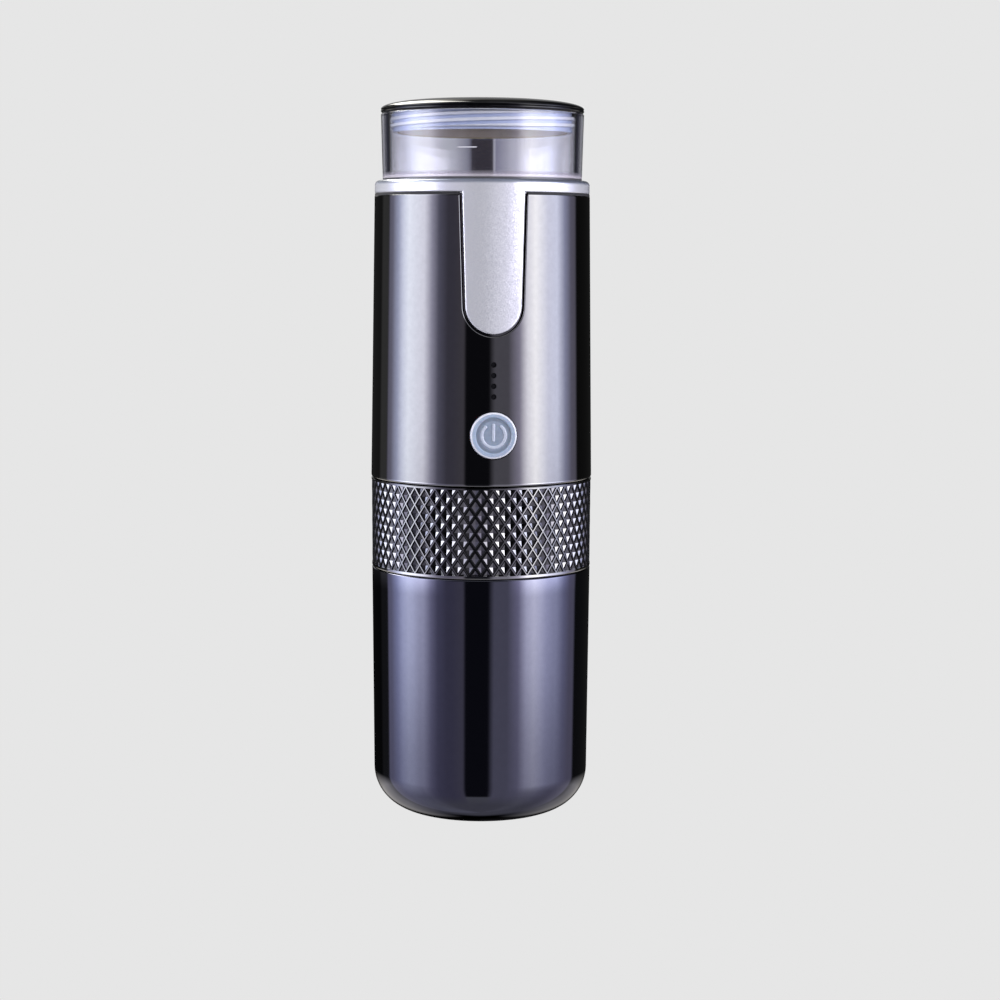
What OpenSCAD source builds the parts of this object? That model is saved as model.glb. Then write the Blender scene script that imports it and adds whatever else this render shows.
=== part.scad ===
// Portable espresso maker: drinking cup, knurled brew head, pump and battery body, clear tank with a screw lid.
// Millimetres, +Z up, origin in the middle of the foot, the button looks along -Y.

/* [Cup] */
// Height of the cup's outer shell
cup_h = 85.15; // [78:0.05:92]
// Step from the grip ring in to the cup's mouth
cup_step = 0.05; // [0:0.05:0.3]
// Taper of the cup's radius from its mouth to the lower corner
cup_taper = 0.6; // [0:0.05:1.5]
// Radius of the cup's lower corner
cup_corner_r = 14.4; // [10:0.1:17]
// Wall of the cup's outer shell
cup_wall = 1.8; // [1.5:0.1:2.1]
// Wall of the cup's liner
liner_wall = 1.3; // [1:0.1:1.5]
// Air gap between the cup's shell and liner
liner_gap = 0.35; // [0.3:0.05:0.5]
// Step from the cup's rim down to the liner's rim
liner_drop = 1.5; // [1:0.1:3]
// Rounding of the cup's rim
cup_rim_r = 0.6; // [0.3:0.1:0.8]
// Flat ring of the cup's underside round the soft foot
pad_margin = 2.85; // [1.5:0.05:8]
// Thickness of the soft foot
pad_t = 1.4; // [1:0.1:1.6]
// How far the foot stands out of the cup
pad_proud = 0.6; // [0.3:0.1:0.9]

/* [Knurled grip] */
// Height of the grip ring
grip_h = 30.65; // [27:0.05:34]
// Step from the shell in to the ring's upper rim
grip_step = 0.05; // [0:0.05:0.3]
// Taper of the ring's radius from its upper to its lower rim
grip_taper = 0.15; // [0:0.05:0.4]
// Diamonds around the ring
knurl_count = 60; // [40:2:72]
// Full rows of diamonds
knurl_rows = 5; // [3:1:7]
// Depth of the diamond pits below the crossing ridges
knurl_depth = 0.8; // [0.6:0.1:1.1]
// How far the ridges lie inside the rims
knurl_inset = 0.1; // [0.05:0.05:0.3]
// Height of the plain rim above and below the knurling
grip_rim_h = 1.45; // [1:0.05:2]
// Edge break of the rims
grip_edge = 0.35; // [0.2:0.05:0.5]
// Wall left under the knurling
grip_wall = 1.9; // [1.6:0.1:2.2]

/* [Brew head] */
// Depth of the plug that closes the cup
plug_h = 12; // [9:0.5:15]
// Wall of the plug
plug_wall = 2; // [1.8:0.1:2.4]
// Room between plug and liner
plug_gap = 0.4; // [0.35:0.05:0.6]
// Section radius of the plug's sealing ring
cup_seal_r = 0.55; // [0.45:0.05:0.6]
// Depth of the sealing ring's groove
cup_seal_groove = 1; // [0.9:0.05:1.1]
// Height of the sealing ring above the plug's lower edge
cup_seal_up = 6; // [3:0.5:7]
// Flange of the frame that carries the grip ring
frame_flange_t = 2; // [1.6:0.1:2.4]
// Width of that flange beyond the ring's bore
frame_flange_w = 0.8; // [0.5:0.1:1]
// Floor of the frame
frame_floor_t = 3.5; // [3:0.1:4]
// Outer wall of the frame
frame_wall = 1.9; // [1.5:0.1:2.4]
// Wall round the brewing well
chamber_wall = 2.2; // [1.8:0.1:2.8]
// Thickness of the chamber floor at the well's edge
chamber_floor_t = 3.5; // [3:0.1:4.2]
// Fall of the chamber floor to the outlet
chamber_fall = 2; // [1:0.1:2.4]
// Flange of the chamber on the frame
chamber_flange_t = 1.8; // [1.4:0.1:2.4]
// Width from the shell's outside in to the thread of the socket
socket_ring_w = 7; // [6.4:0.1:8]
// Room round the threaded neck
neck_gap = 0.4; // [0.3:0.05:0.6]
// Wall of the neck round the basket's seat
seat_wall = 4.1; // [3:0.1:5]
// Height of the threaded neck above its flange
neck_h = 6.2; // [5.5:0.1:7.5]
// Depth of the basket's seat in the neck
seat_depth = 2.5; // [2:0.1:3]
// Radius of the outlet boss
outlet_boss_r = 8.8; // [7:0.1:10]
// Height of the outlet boss
outlet_boss_h = 7.5; // [6:0.1:9]
// Radius of the outlet bore
outlet_bore_r = 2.4; // [1.6:0.1:3]
// Length of the spout below the boss
spout_len = 14; // [8:0.5:18]
// Radius of the spout
spout_r = 5.5; // [4.5:0.1:7]
// Length of the spout's spigot in the boss
spout_spigot = 4; // [3:0.1:5]
// Wall of the spout's spigot
spigot_wall = 1.6; // [1.2:0.1:2]
// Thickness of the spout's flange
spout_flange_t = 2; // [1.4:0.1:2.6]

/* [Basket] */
// Width of the basket's flange
basket_flange_w = 4; // [3:0.1:5]
// Thickness of the basket's flange
basket_flange_t = 1.8; // [1.4:0.1:1.9]
// Taper of the basket's radius from its flange to its floor
basket_taper = 1.6; // [0.5:0.1:2.5]
// Wall of the basket
basket_wall = 1.2; // [1:0.1:1.5]
// Width of the ledge that carries the filter
basket_ledge = 2; // [1.5:0.1:2.4]
// Room between the basket and the chamber floor
basket_lift_gap = 1; // [0.6:0.1:2]
// Room round the basket
basket_gap = 0.4; // [0.3:0.05:0.6]
// Thickness of the perforated filter
filter_t = 0.7; // [0.5:0.1:1]
// Radius of a filter hole
filter_hole_r = 0.45; // [0.3:0.05:0.6]
// Distance between the rings of holes
filter_pitch = 3.2; // [2.6:0.1:4]
// Thickness of the gasket above the basket
gasket_t = 1.7; // [1.3:0.1:2.2]

/* [Upper body] */
// Height of the upper body's shell
shell_h = 96.1; // [90:0.05:106]
// Shell radius at its lower edge
shell_low_r = 38; // [34.2:0.1:41.8]
// Taper of the shell's radius from its lower to its upper edge
shell_taper = 1.3; // [0.5:0.05:1.6]
// Wall of the shell
shell_wall = 2.2; // [2:0.05:2.3]
// Rounding of the shell's outer edges
shell_edge_r = 0.7; // [0.3:0.1:0.9]
// Thickness of the shower plate
shower_t = 2.3; // [2:0.1:2.8]
// Thickness of the shower screen
screen_t = 0.8; // [0.5:0.1:0.9]
// Depth of the rim that holds the screen
screen_rim_h = 1.6; // [1.4:0.1:1.7]
// Width of that rim
screen_rim_w = 1.4; // [1:0.1:2]
// Radius of a screen hole
screen_hole_r = 0.5; // [0.3:0.05:0.7]
// Distance between the rings of holes
screen_pitch = 4.2; // [3.5:0.1:5]
// Plain edge of the screen outside its holes
screen_edge = 2; // [1:0.1:3]
// Ceiling of the threaded socket
ceiling_t = 2.5; // [2.2:0.1:3]
// Flange of the socket under the shell
socket_flange_t = 2; // [1.6:0.1:2.4]
// Width of the shell's edge outside the socket's flange
shell_foot_w = 1.2; // [1:0.05:1.4]
// Plate of the chassis
chassis_t = 2; // [1.6:0.1:2.5]
// Radius of the chassis posts
post_r = 2.2; // [1.8:0.1:2.4]
// Edge of the deck outside the posts
post_edge = 0.8; // [0.5:0.1:1.2]
// Upper ring of the chassis
deck_t = 2; // [1.6:0.1:2.5]
// Width of that ring
deck_w = 6; // [5.4:0.1:6.6]
// Room between the chassis plate and the shell
chassis_gap = 1; // [0.6:0.1:1.6]
// Room between the chassis' upper ring and the shell
deck_gap = 0.7; // [0.5:0.1:1.2]
// Height of the collar
collar_h = 4.85; // [4:0.05:5.5]
// Step from the shell in to the collar
collar_step = 0.1; // [0:0.05:0.3]
// Width of the collar's rim round the tank
collar_lip = 2.5; // [2.4:0.05:3]
// Rounding of the collar's upper edge
collar_round = 1.6; // [1:0.1:2.6]
// Solid lower part of the collar
collar_floor_t = 1.65; // [1.2:0.05:2]
// Depth of the collar's spigot in the shell
collar_spigot_h = 8; // [5:0.5:11]
// Wall of the collar's spigot
collar_spigot_w = 1.4; // [1.2:0.1:1.6]
// Round of the collar's lower edge
collar_edge = 0.45; // [0.3:0.05:0.6]
// Height of the shadow line between the shell and the collar
collar_line = 0.5; // [0.3:0.05:0.7]
// Depth of the shadow line
collar_groove = 1; // [0.7:0.05:1.2]

/* [Tongue] */
// Width of the tongue at the collar
tongue_top_w = 20.6; // [16:0.1:24]
// Radius of the tongue's round end
tongue_end_r = 9.25; // [7:0.05:10]
// Plain shell between the tongue and the highest lamp's middle
tongue_clear = 10; // [7:0.1:20]
// Thickness of the tongue
tongue_t = 1.1; // [0.9:0.05:1.2]
// Shadow gap round the tongue
tongue_gap = 1.2; // [0.6:0.05:1.5]
// Step of the tongue's raised field
tongue_step = 0.35; // [0.2:0.05:0.5]
// Border of the tongue's raised field
tongue_border = 0.6; // [0.4:0.05:1]

/* [Button and lamps] */
// Height of the button above the shell's lower edge
button_up = 17; // [16:0.1:18]
// Radius of the button
button_r = 7.7; // [6.5:0.05:8]
// How far the button stands out of the shell at its middle
button_proud = 0.23; // [0.1:0.01:0.23]
// Travel of the button
button_travel = 0.8; // [0.5:0.1:0.9]
// Room round the button
button_gap = 0.3; // [0.25:0.05:0.5]
// Width of the button's raised rim
button_rim_w = 1.5; // [1:0.1:2]
// Depth of the dish inside the rim
button_dish = 0.45; // [0.2:0.05:0.7]
// Rounding of the button's edge
button_round = 0.6; // [0.3:0.1:0.8]
// Width of the button's flange behind the shell
button_flange_w = 1.3; // [1:0.1:1.5]
// Thickness of that flange
button_flange_t = 0.8; // [0.6:0.1:1]
// Radius of the button's stem
button_stem_r = 2.2; // [1.5:0.1:2.8]
// Height of the lowest lamp above the shell's lower edge
led_up = 29.8; // [29:0.1:33]
// Distance between the lamps
led_pitch = 3.5; // [3:0.1:4]
// Radius of a lamp hole
led_hole_r = 0.9; // [0.7:0.05:1.1]
// Depth of the lamp windows below the surface
led_recess = 0.35; // [0.2:0.05:0.6]

/* [Pump and motor] */
// Module of the pump gears
gear_module = 1; // [0.9:0.02:1.04]
// Teeth of each pump gear
gear_teeth = 12; // [11:1:12]
// Width of the pump gears
gear_w = 6.8; // [5:0.1:8]
// Play between the teeth
gear_play = 0.12; // [0.08:0.02:0.2]
// Room between gears and pump body
gear_room = 0.15; // [0.1:0.01:0.25]
// Radius of the gear shafts
shaft_r = 1.15; // [1:0.05:1.3]
// Running clearance of the shafts
shaft_gap = 0.05; // [0.03:0.01:0.08]
// Wall of the pump body
pump_wall = 2.4; // [2:0.1:2.8]
// Floor of the pump body
pump_floor_t = 3; // [2.6:0.1:3.6]
// Cover of the pump
pump_cover_t = 3; // [2.8:0.1:3.6]
// Radius of the motor
motor_r = 12.2; // [11.5:0.1:13]
// Length of the motor
motor_len = 31; // [28:0.5:38]
// Wall of the motor can
motor_wall = 1.1; // [0.9:0.1:1.3]
// Front plate of the motor can
motor_front_t = 1.5; // [1.2:0.1:2]
// End cap of the motor
motor_cap_t = 3; // [2.4:0.1:4]
// Thickness of the magnets
magnet_t = 2; // [1.6:0.1:2.4]
// Length of magnets and rotor
rotor_len = 20; // [15:0.5:21]
// Air gap round the rotor
rotor_gap = 0.5; // [0.35:0.05:0.7]
// Radius of the pump ports
port_r = 1.8; // [1.6:0.1:2]
// Distance of the ports from the middle
port_x = 5; // [4.8:0.1:5.4]
// Outer radius of the inlet tube
tube_r = 3.2; // [2.8:0.1:3.4]
// Wall of the inlet tube
tube_wall = 1.2; // [1:0.1:1.3]
// Bend radius of the inlet tube
tube_bend = 6; // [5:0.5:7]
// Room between the riser and the chassis' upper ring
riser_gap = 0.8; // [0.5:0.1:2]
// Straight tube left beyond the pump's nipple
nipple_end = 2; // [1:0.1:3]

/* [Power] */
// Radius of a cell
cell_r = 9.2; // [8.5:0.1:9.4]
// Room between the cells' contacts and the deck
cell_head = 0.95; // [0.5:0.05:10]
// Angle of the cells round the middle, from the right side to the back
cell_angle = 56.7; // [54:0.1:58]
// Room between the cell holder and the shell
holder_room = 1.7; // [0.6:0.1:2.2]
// Wall of the cell holder
holder_wall = 1.2; // [1:0.1:1.3]
// Floor of the cell holder
holder_floor_t = 1.5; // [1.2:0.1:2]
// Height of the sleeves of the cell holder
holder_h = 34; // [20:1:44]
// Room between the pump's cover and the cell holder
holder_lift = 0.6; // [0.3:0.1:2]
// Thickness of the contact strips
contact_t = 0.4; // [0.3:0.05:0.5]
// Width of the control board
board_w = 22; // [20:0.5:23]
// Height of the control board
board_h = 37; // [34:0.5:39]
// Thickness of both boards
board_t = 1.6; // [1.2:0.1:1.6]
// Depth of the control board's face behind the shell at the button
board_depth = 10.2; // [9.8:0.1:10.4]
// Side of the push switch
switch_w = 6; // [5:0.1:6.4]
// Height of the push switch
switch_h = 3.5; // [3:0.1:3.6]
// Radius of the push switch's pin
switch_pin_r = 1.7; // [1.4:0.1:2]
// Width of the charging port
usb_w = 8.94; // [8.6:0.02:9.2]
// Height of the charging port
usb_h = 3.26; // [3:0.02:3.5]
// Depth of the charging port
usb_depth = 7; // [6:0.1:7.4]
// Room round the port in the shell
usb_gap = 0.4; // [0.3:0.05:0.6]

/* [Tank and lid] */
// Height of the tank above the collar
tank_show_h = 22.5; // [20:0.1:30]
// Flare of the tank's radius from the collar to its rim
tank_flare = 0.6; // [0:0.05:1]
// Depth of the tank inside the collar and shell
tank_depth = 16; // [14:0.1:17]
// Floor of the tank
tank_floor_t = 2.5; // [2:0.1:3]
// Wall of the tank's neck
tank_neck_w = 1.3; // [1.1:0.1:1.5]
// Wall of the tank's rim
tank_rim_w = 2.8; // [2.4:0.1:2.9]
// Rounding of the tank's rim
tank_edge_r = 0.5; // [0.3:0.1:0.7]
// Thickness of the seal under the tank
tank_seal_t = 0.6; // [0.4:0.1:1]
// Height of the lid
lid_h = 4.35; // [4.2:0.05:6]
// Fullness of the lid's dome, a higher power is flatter
lid_power = 3.2; // [2:0.1:6]
// Gap between lid and tank rim
lid_gap = 0.4; // [0.3:0.05:0.6]
// Height of the lid's shadow groove above its lower edge
lid_groove_up = 0.85; // [0.7:0.05:1]
// Depth of the lid's shadow groove
lid_groove = 0.25; // [0.15:0.05:0.3]
// Depth of the lid's threaded plug in the tank
skirt_h = 6.8; // [6:0.1:10]
// Wall of the lid's plug
skirt_wall = 2.2; // [1.8:0.1:2.6]
// Room round the lid's plug for the thread
skirt_gap = 0.5; // [0.4:0.05:0.7]
// Depth of the plug's root in the lid
skirt_root = 1.6; // [1:0.1:1.8]
// Depth of the lid seal's groove
lid_seal_groove = 0.8; // [0.6:0.1:1]
// Width of the lid's seal
lid_seal_w = 1.7; // [1.4:0.1:1.8]

/* [Hidden] */
$fn = 96;

// Clearances shared by the whole assembly
seam = 0.2;
fit = 0.1;
over = 1;
// Height of the stands under the charging board
usb_stand_h = 2;

// Heights, from the foot to the lid
z_cup0 = pad_proud;
z_cup1 = z_cup0 + cup_h;
z_corner = z_cup0 + cup_corner_r;
z_liner1 = z_cup1 - liner_drop;
z_grip0 = z_cup1 + seam;
z_grip1 = z_grip0 + grip_h;
z_shell0 = z_grip1 + seam;
z_shell1 = z_shell0 + shell_h;
z_collar1 = z_shell1 + collar_h;
z_rim = z_collar1 + tank_show_h;
z_lid0 = z_rim + lid_gap;
z_top = z_lid0 + lid_h;

// Heights inside the brew head
z_frame0 = z_grip0 + fit;
z_plug0 = z_frame0 - plug_h;
z_fflange1 = z_frame0 + frame_flange_t;
z_cham0 = z_frame0 + frame_floor_t;
z_well = z_cham0 + chamber_floor_t;
z_cflange1 = z_grip1 - seam - fit;
z_cflange0 = z_cflange1 - chamber_flange_t;
z_neck1 = z_cflange1 + neck_h;
z_seat = z_neck1 - seat_depth;
z_bflange1 = z_seat + basket_flange_t;
z_basket0 = z_well + basket_lift_gap;
z_filter0 = z_basket0 + basket_wall;
z_outlet0 = z_cham0 - outlet_boss_h;
z_spout0 = z_outlet0 - spout_len;

// Heights inside the upper body
z_gasket1 = z_bflange1 + gasket_t;
z_shower0 = z_gasket1 + seam;
z_ceil0 = z_shower0 + shower_t;
z_ceil1 = z_ceil0 + ceiling_t;
z_plate1 = z_ceil1 + chassis_t;
z_socket0 = z_shell0 + seam;
z_socketf1 = z_socket0 + socket_flange_t;
gear_end = 0.1;
z_cav0 = z_plate1 + pump_floor_t;
z_cav1 = z_cav0 + gear_w + 2 * gear_end;
z_port = (z_cav0 + z_cav1) / 2;
z_motor0 = z_cav1 + pump_cover_t;
z_motor1 = z_motor0 + motor_len;
z_button = z_shell0 + button_up;
z_led0 = z_shell0 + led_up;
z_ledge = z_shell1 + collar_floor_t;
z_step = z_ledge + tank_seal_t;
z_tank0 = z_step - tank_depth;
z_tfloor = z_tank0 + tank_floor_t;
z_deck0 = z_tank0 - deck_t;
z_holder0 = z_motor0 + holder_lift;
holder_leg_h = z_holder0 - z_plate1;
z_cell0 = z_holder0 + holder_floor_t + contact_t;
cell_cap_t = 0.8;
cell_len = z_deck0 - cell_head - contact_t - cell_cap_t - z_cell0;
z_usb_board1 = z_plate1 + usb_stand_h + board_t;
z_usb = z_usb_board1 + usb_h / 2;

// Radii that follow from their neighbours, from the shell's lower edge inward
shell_top_r = shell_low_r - shell_taper;
grip_top_r = shell_low_r - grip_step;
grip_low_r = grip_top_r - grip_taper;
cup_top_r = grip_low_r - cup_step;
cup_low_r = cup_top_r - cup_taper;
collar_r = shell_top_r - collar_step;
tank_low_r = collar_r - collar_lip - seam;
tank_top_r = tank_low_r + tank_flare;
socket_bore_r = shell_low_r - socket_ring_w;
neck_r = socket_bore_r - neck_gap;
basket_flange_r = neck_r - seat_wall - basket_gap;
basket_top_r = basket_flange_r - basket_flange_w;
basket_low_r = basket_top_r - basket_taper;
filter_field_r = basket_low_r - basket_wall - basket_ledge;
filter_rings = floor((filter_field_r - filter_hole_r) / filter_pitch);
corner_c = cup_low_r - cup_corner_r;
pad_r = corner_c - pad_margin;
plug_r = cup_r(z_plug0) - cup_wall - liner_gap - liner_wall - plug_gap;
grip_bore_r = grip_low_r - knurl_inset - knurl_depth - grip_wall;
frame_r = grip_bore_r - fit;
frame_flange_r = grip_bore_r + frame_flange_w;
frame_hole_r = outlet_boss_r + seam;
well_r = basket_top_r + basket_gap;
seat_r = basket_flange_r + basket_gap;
spigot_r = outlet_bore_r + spigot_wall;
socket_r = shell_r(z_ceil1) - shell_wall - seam;
socket_flange_r = shell_low_r - shell_foot_w - fit;
gasket_in_r = well_r + fit;
screen_rim_r = gasket_in_r - basket_gap;
screen_r = screen_rim_r - screen_rim_w - fit;
screen_rings = floor((screen_r - screen_edge - screen_hole_r) / screen_pitch);
shower_r = basket_flange_r + basket_gap;
collar_spigot_r = shell_top_r - shell_wall - seam;
ledge_r = collar_spigot_r - collar_spigot_w;
tank_neck_r = ledge_r - seam - fit;
tank_in_r = tank_neck_r - tank_neck_w;
tank_mouth_r = tank_top_r - tank_rim_w;
tank_socket_r = tank_low_r + seam;
skirt_r = tank_mouth_r - skirt_gap;
lid_seal_in_r = tank_mouth_r + fit;
tube_in_r = tube_r - tube_wall;
nipple_r = tube_in_r - shaft_gap;
chassis_r = shell_r(z_plate1) - shell_wall - chassis_gap;
deck_r = shell_r(z_deck0) - shell_wall - deck_gap;
deck_in_r = deck_r - deck_w;
post_reach = deck_r - post_edge - post_r;
riser_x = floor(10 * (deck_in_r - riser_gap - tube_r)) / 10;

// Gears: both on one line, the drive gear in front
gear_axes = gear_module * gear_teeth + shaft_gap;
drive_y = -gear_axes / 2;
driven_y = gear_axes / 2;
gear_pressure = 25;
gear_pitch_r = gear_module * gear_teeth / 2;
gear_base_r = gear_pitch_r * cos(gear_pressure);
gear_tip_r = gear_pitch_r + 0.9 * gear_module;
gear_root_r = gear_pitch_r - 1.15 * gear_module;
gear_flank_steps = 5;
cavity_r = gear_tip_r + gear_room;
pump_r = cavity_r + pump_wall;

// Small fixed details
arc_steps = 4;
corner_steps = 14;
dome_steps = 20;
lug_r = 2.6;
lug_in = 0.9;
lug_out = 4.4;
lug_x = pump_r - lug_in;
lug_y = driven_y + lug_out;
pump_screw_r = 1;
pump_head_r = 1.8;
pump_head_t = 1.4;
pump_screw_len = 8;
nipple_gap = 0.5;
nipple_len = riser_x - tube_bend - pump_r - nipple_end;
tank_nipple_len = 6;
seal_r = 3.1;
seal_h = 1.6;
boss_r = 3.5;
boss_short = 1.2;
outlet_seal_r = 0.55;
outlet_seal_ring_r = 2.5;
boss_hole_r = boss_r + seam;
screen_screw_r = 1.2;
screen_head_r = 2.8;
screen_head_t = 1.3;
screen_boss_r = 3;
screen_screw_len = 1.6;
chassis_screw_r = 1.4;
chassis_head_r = 2.6;
chassis_head_t = 1.6;
chassis_screw_len = 3.8;
chassis_screw_edge = 1;
chassis_screw_reach = chassis_r - chassis_screw_edge - chassis_head_r;
chassis_screw_angles = [0, 90, 180];
post_angles = [20, 160, 220, 320];
pocket_gap = 0.5;
pocket_r = button_r + button_flange_w + pocket_gap;
notch_gap = 1;
notch_back = 0.6;
notch_w = board_w + 2 * notch_gap;
board_y = shell_r(z_button) - board_depth;
notch_y = board_y - board_t - notch_back;
holder_gap = 0.15;
holder_sleeve_r = cell_r + holder_gap + holder_wall;
z_holder1 = z_holder0 + holder_h;
cell_reach = shell_r(z_holder1) - shell_wall - holder_room - holder_sleeve_r;
cell_x = cell_reach * cos(cell_angle);
cell_y = cell_reach * sin(cell_angle);
holder_leg_r = 2.5;
holder_leg_out = 5.5;
holder_leg_in = 1;
holder_leg_x = cell_x + holder_leg_out;
holder_leg_y = cell_y - holder_leg_in;
cell_cap_r = 4;
contact_r = 5;
usb_stand_r = 2;
usb_stand_x = 6.5;
usb_board_w = 18;
usb_board_len = 13;
usb_overhang = 2;
usb_stand_in = 4;
usb_wall = 0.3;
usb_back_t = 1;
usb_tongue_w = 6.7;
usb_tongue_t = 0.7;
usb_tongue_len = 5.4;
usb_y1 = sqrt(pow(shell_r(z_usb) - shell_wall, 2) - pow(usb_w / 2, 2)) - seam;
usb_board_y1 = usb_y1 - usb_overhang;
usb_board_y0 = usb_board_y1 - usb_board_len;
usb_stand_y = usb_board_y0 + usb_stand_in;
led_count = 4;
led_w = 1.6;
led_t = 0.7;
guide_w = 4.4;
guide_t = 2;
guide_gap = 0.2;
guide_end = 2;
switch_pin_h = 0.9;
shell_front = shell_r(z_button);
button_face = shell_front + button_proud;
button_flange1 = sqrt(pow(shell_front - shell_wall, 2) - pow(button_r + button_flange_w, 2)) - basket_gap;
button_flange0 = button_flange1 - button_flange_t;
pocket_y = button_flange0 - button_travel - basket_gap;
button_stem0 = board_y + switch_h + switch_pin_h + button_travel + seam;
strainer_r = 4.2;
strainer_wall = 0.7;
strainer_h = 1.6;
strainer_top_t = 0.5;
strainer_hole_r = 0.35;
strainer_pitch = 1.2;
tank_hole_r = 1.2;
tank_corner_r = 2;
pad_edge = 0.3;
plug_edge = 0.6;
basket_lip = 0.3;

// Colours as the photo shows them
gunmetal = [0.30, 0.30, 0.36];
cup_grey = [0.24, 0.25, 0.32];
silver = [0.74, 0.76, 0.82];
gloss_black = [0.04, 0.04, 0.05];
clear_blue = [0.80, 0.87, 0.95, 0.4];
pale_blue = [0.78, 0.86, 0.96];
button_grey = [0.66, 0.70, 0.79];
rubber = [0.10, 0.10, 0.12];
inner_black = [0.13, 0.13, 0.14];
steel = [0.70, 0.71, 0.73];
brass = [0.78, 0.64, 0.36];
board_green = [0.10, 0.34, 0.20];
cell_blue = [0.16, 0.33, 0.58];
lamp_dark = [0.09, 0.09, 0.12];

function lerp(a, b, t) = a + (b - a) * t;
function cup_r(z) = lerp(cup_low_r, cup_top_r, (z - z_corner) / (z_cup1 - z_corner));
function grip_r(z) = lerp(grip_low_r, grip_top_r, (z - z_grip0) / grip_h);
function shell_r(z) = lerp(shell_low_r, shell_top_r, (z - z_shell0) / shell_h);
function turned(list) = [for (i = [len(list) - 1 : -1 : 0]) list[i]];
function arc(x, y, r, from, to, steps) =
  [for (i = [0 : steps]) [x + r * cos(lerp(from, to, i / steps)), y + r * sin(lerp(from, to, i / steps))]];

// Half outline of the cup, moved inward by inset, with its corner lowered by drop, up to z_end
function cup_line(inset, drop, z_end) = concat(
  arc(corner_c, z_corner - drop, cup_corner_r - inset, -90, 0, corner_steps),
  [[cup_r(z_end) - inset, z_end]]);

module revolve(points) rotate_extrude() polygon(points);
module tube(r_out, r_in, h) difference() {
  cylinder(r = r_out, h = h);
  translate([0, 0, -over]) cylinder(r = r_in, h = h + 2 * over);
}
// Children with their +Z turned to the front, or to the back
module at_front(z) translate([0, 0, z]) rotate([90, 0, 0]) children();
module at_back(z) translate([0, 0, z]) rotate([90, 0, 180]) children();
// Flat slot with round ends
module slot(w, h) {
  square([w - h, h], center = true);
  for (side = [-1, 1]) translate([side * (w - h) / 2, 0]) circle(r = h / 2);
}
// Holes in rings of six, twelve, eighteen and so on round one hole in the middle
module hole_rings(rings, pitch, r, z, h, first = 0) {
  for (k = [first : rings], i = [0 : max(1, 6 * k) - 1])
    rotate([0, 0, i * 360 / max(1, 6 * k)]) translate([k * pitch, 0, z]) cylinder(r = r, h = h, $fn = 24);
}
// Round ring of round section
module sealing_ring(ring_r, section_r, z) rotate_extrude() translate([ring_r, z]) circle(r = section_r, $fn = 32);

module cup_shell() color(cup_grey) revolve(concat(
  [[0, pad_t], [pad_r + fit, pad_t], [pad_r + fit, z_cup0]],
  cup_line(0, 0, z_cup1 - cup_rim_r),
  arc(cup_top_r - cup_rim_r, z_cup1 - cup_rim_r, cup_rim_r, 0, 90, arc_steps),
  turned(cup_line(cup_wall, 0, z_cup1)),
  [[0, z_cup0 + cup_wall]]));

module cup_liner() color(steel) revolve(concat(
  [[0, z_cup0 + cup_wall]],
  cup_line(cup_wall + liner_gap, liner_gap, z_liner1),
  turned(cup_line(cup_wall + liner_gap + liner_wall, liner_gap, z_liner1)),
  [[0, z_cup0 + cup_wall + liner_wall]]));

module base_pad() color(rubber) revolve([[0, 0], [pad_r - pad_edge, 0], [pad_r, pad_edge], [pad_r, pad_t], [0, pad_t]]);

// The grip ring is built level by level: plain rim, diamonds, plain rim
knurl_cols = 2 * knurl_count;
knurl_levels = 2 * knurl_rows;
z_knurl0 = z_grip0 + grip_rim_h;
knurl_dz = (grip_h - 2 * grip_rim_h) / knurl_levels;
z_knurl1 = z_knurl0 + knurl_levels * knurl_dz;
function ring_points(r, z) = [for (i = [0 : knurl_cols - 1]) [r * cos(i * 360 / knurl_cols), r * sin(i * 360 / knurl_cols), z]];
function knurl_r(i, j, z) = grip_r(z) - knurl_inset - ((i + j) % 2 == 1 ? knurl_depth : 0);
function knurl_points(j, z) = [for (i = [0 : knurl_cols - 1])
  [knurl_r(i, j, z) * cos(i * 360 / knurl_cols), knurl_r(i, j, z) * sin(i * 360 / knurl_cols), z]];
grip_points = concat(
  ring_points(grip_low_r - grip_edge, z_grip0),
  ring_points(grip_low_r, z_grip0 + grip_edge),
  ring_points(grip_r(z_knurl0), z_knurl0),
  [for (j = [0 : knurl_levels]) each knurl_points(j, z_knurl0 + j * knurl_dz)],
  ring_points(grip_r(z_knurl1), z_knurl1),
  ring_points(grip_top_r, z_grip1 - grip_edge),
  ring_points(grip_top_r - grip_edge, z_grip1));
grip_last = knurl_levels + 6;
function at(i, level) = level * knurl_cols + i % knurl_cols;
// Each square of the net is split along its ridge, so that every diamond pit keeps four flat sides
function net(i, level) = (i + level) % 2 == 1
  ? [[at(i, level), at(i + 1, level + 1), at(i + 1, level)], [at(i, level), at(i, level + 1), at(i + 1, level + 1)]]
  : [[at(i, level), at(i, level + 1), at(i + 1, level)], [at(i + 1, level), at(i, level + 1), at(i + 1, level + 1)]];
grip_faces = concat(
  [[for (i = [0 : knurl_cols - 1]) i]],
  [for (level = [0 : grip_last - 1], i = [0 : knurl_cols - 1]) each net(i, level)],
  [[for (i = [knurl_cols - 1 : -1 : 0]) at(i, grip_last)]]);

module knurled_grip() color(gunmetal) difference() {
  polyhedron(points = grip_points, faces = grip_faces);
  translate([0, 0, z_grip0 - over]) cylinder(r = grip_bore_r, h = grip_h + 2 * over);
  translate([0, 0, z_grip0 - over]) cylinder(r = frame_flange_r + fit, h = z_fflange1 - z_grip0 + over);
}

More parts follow.
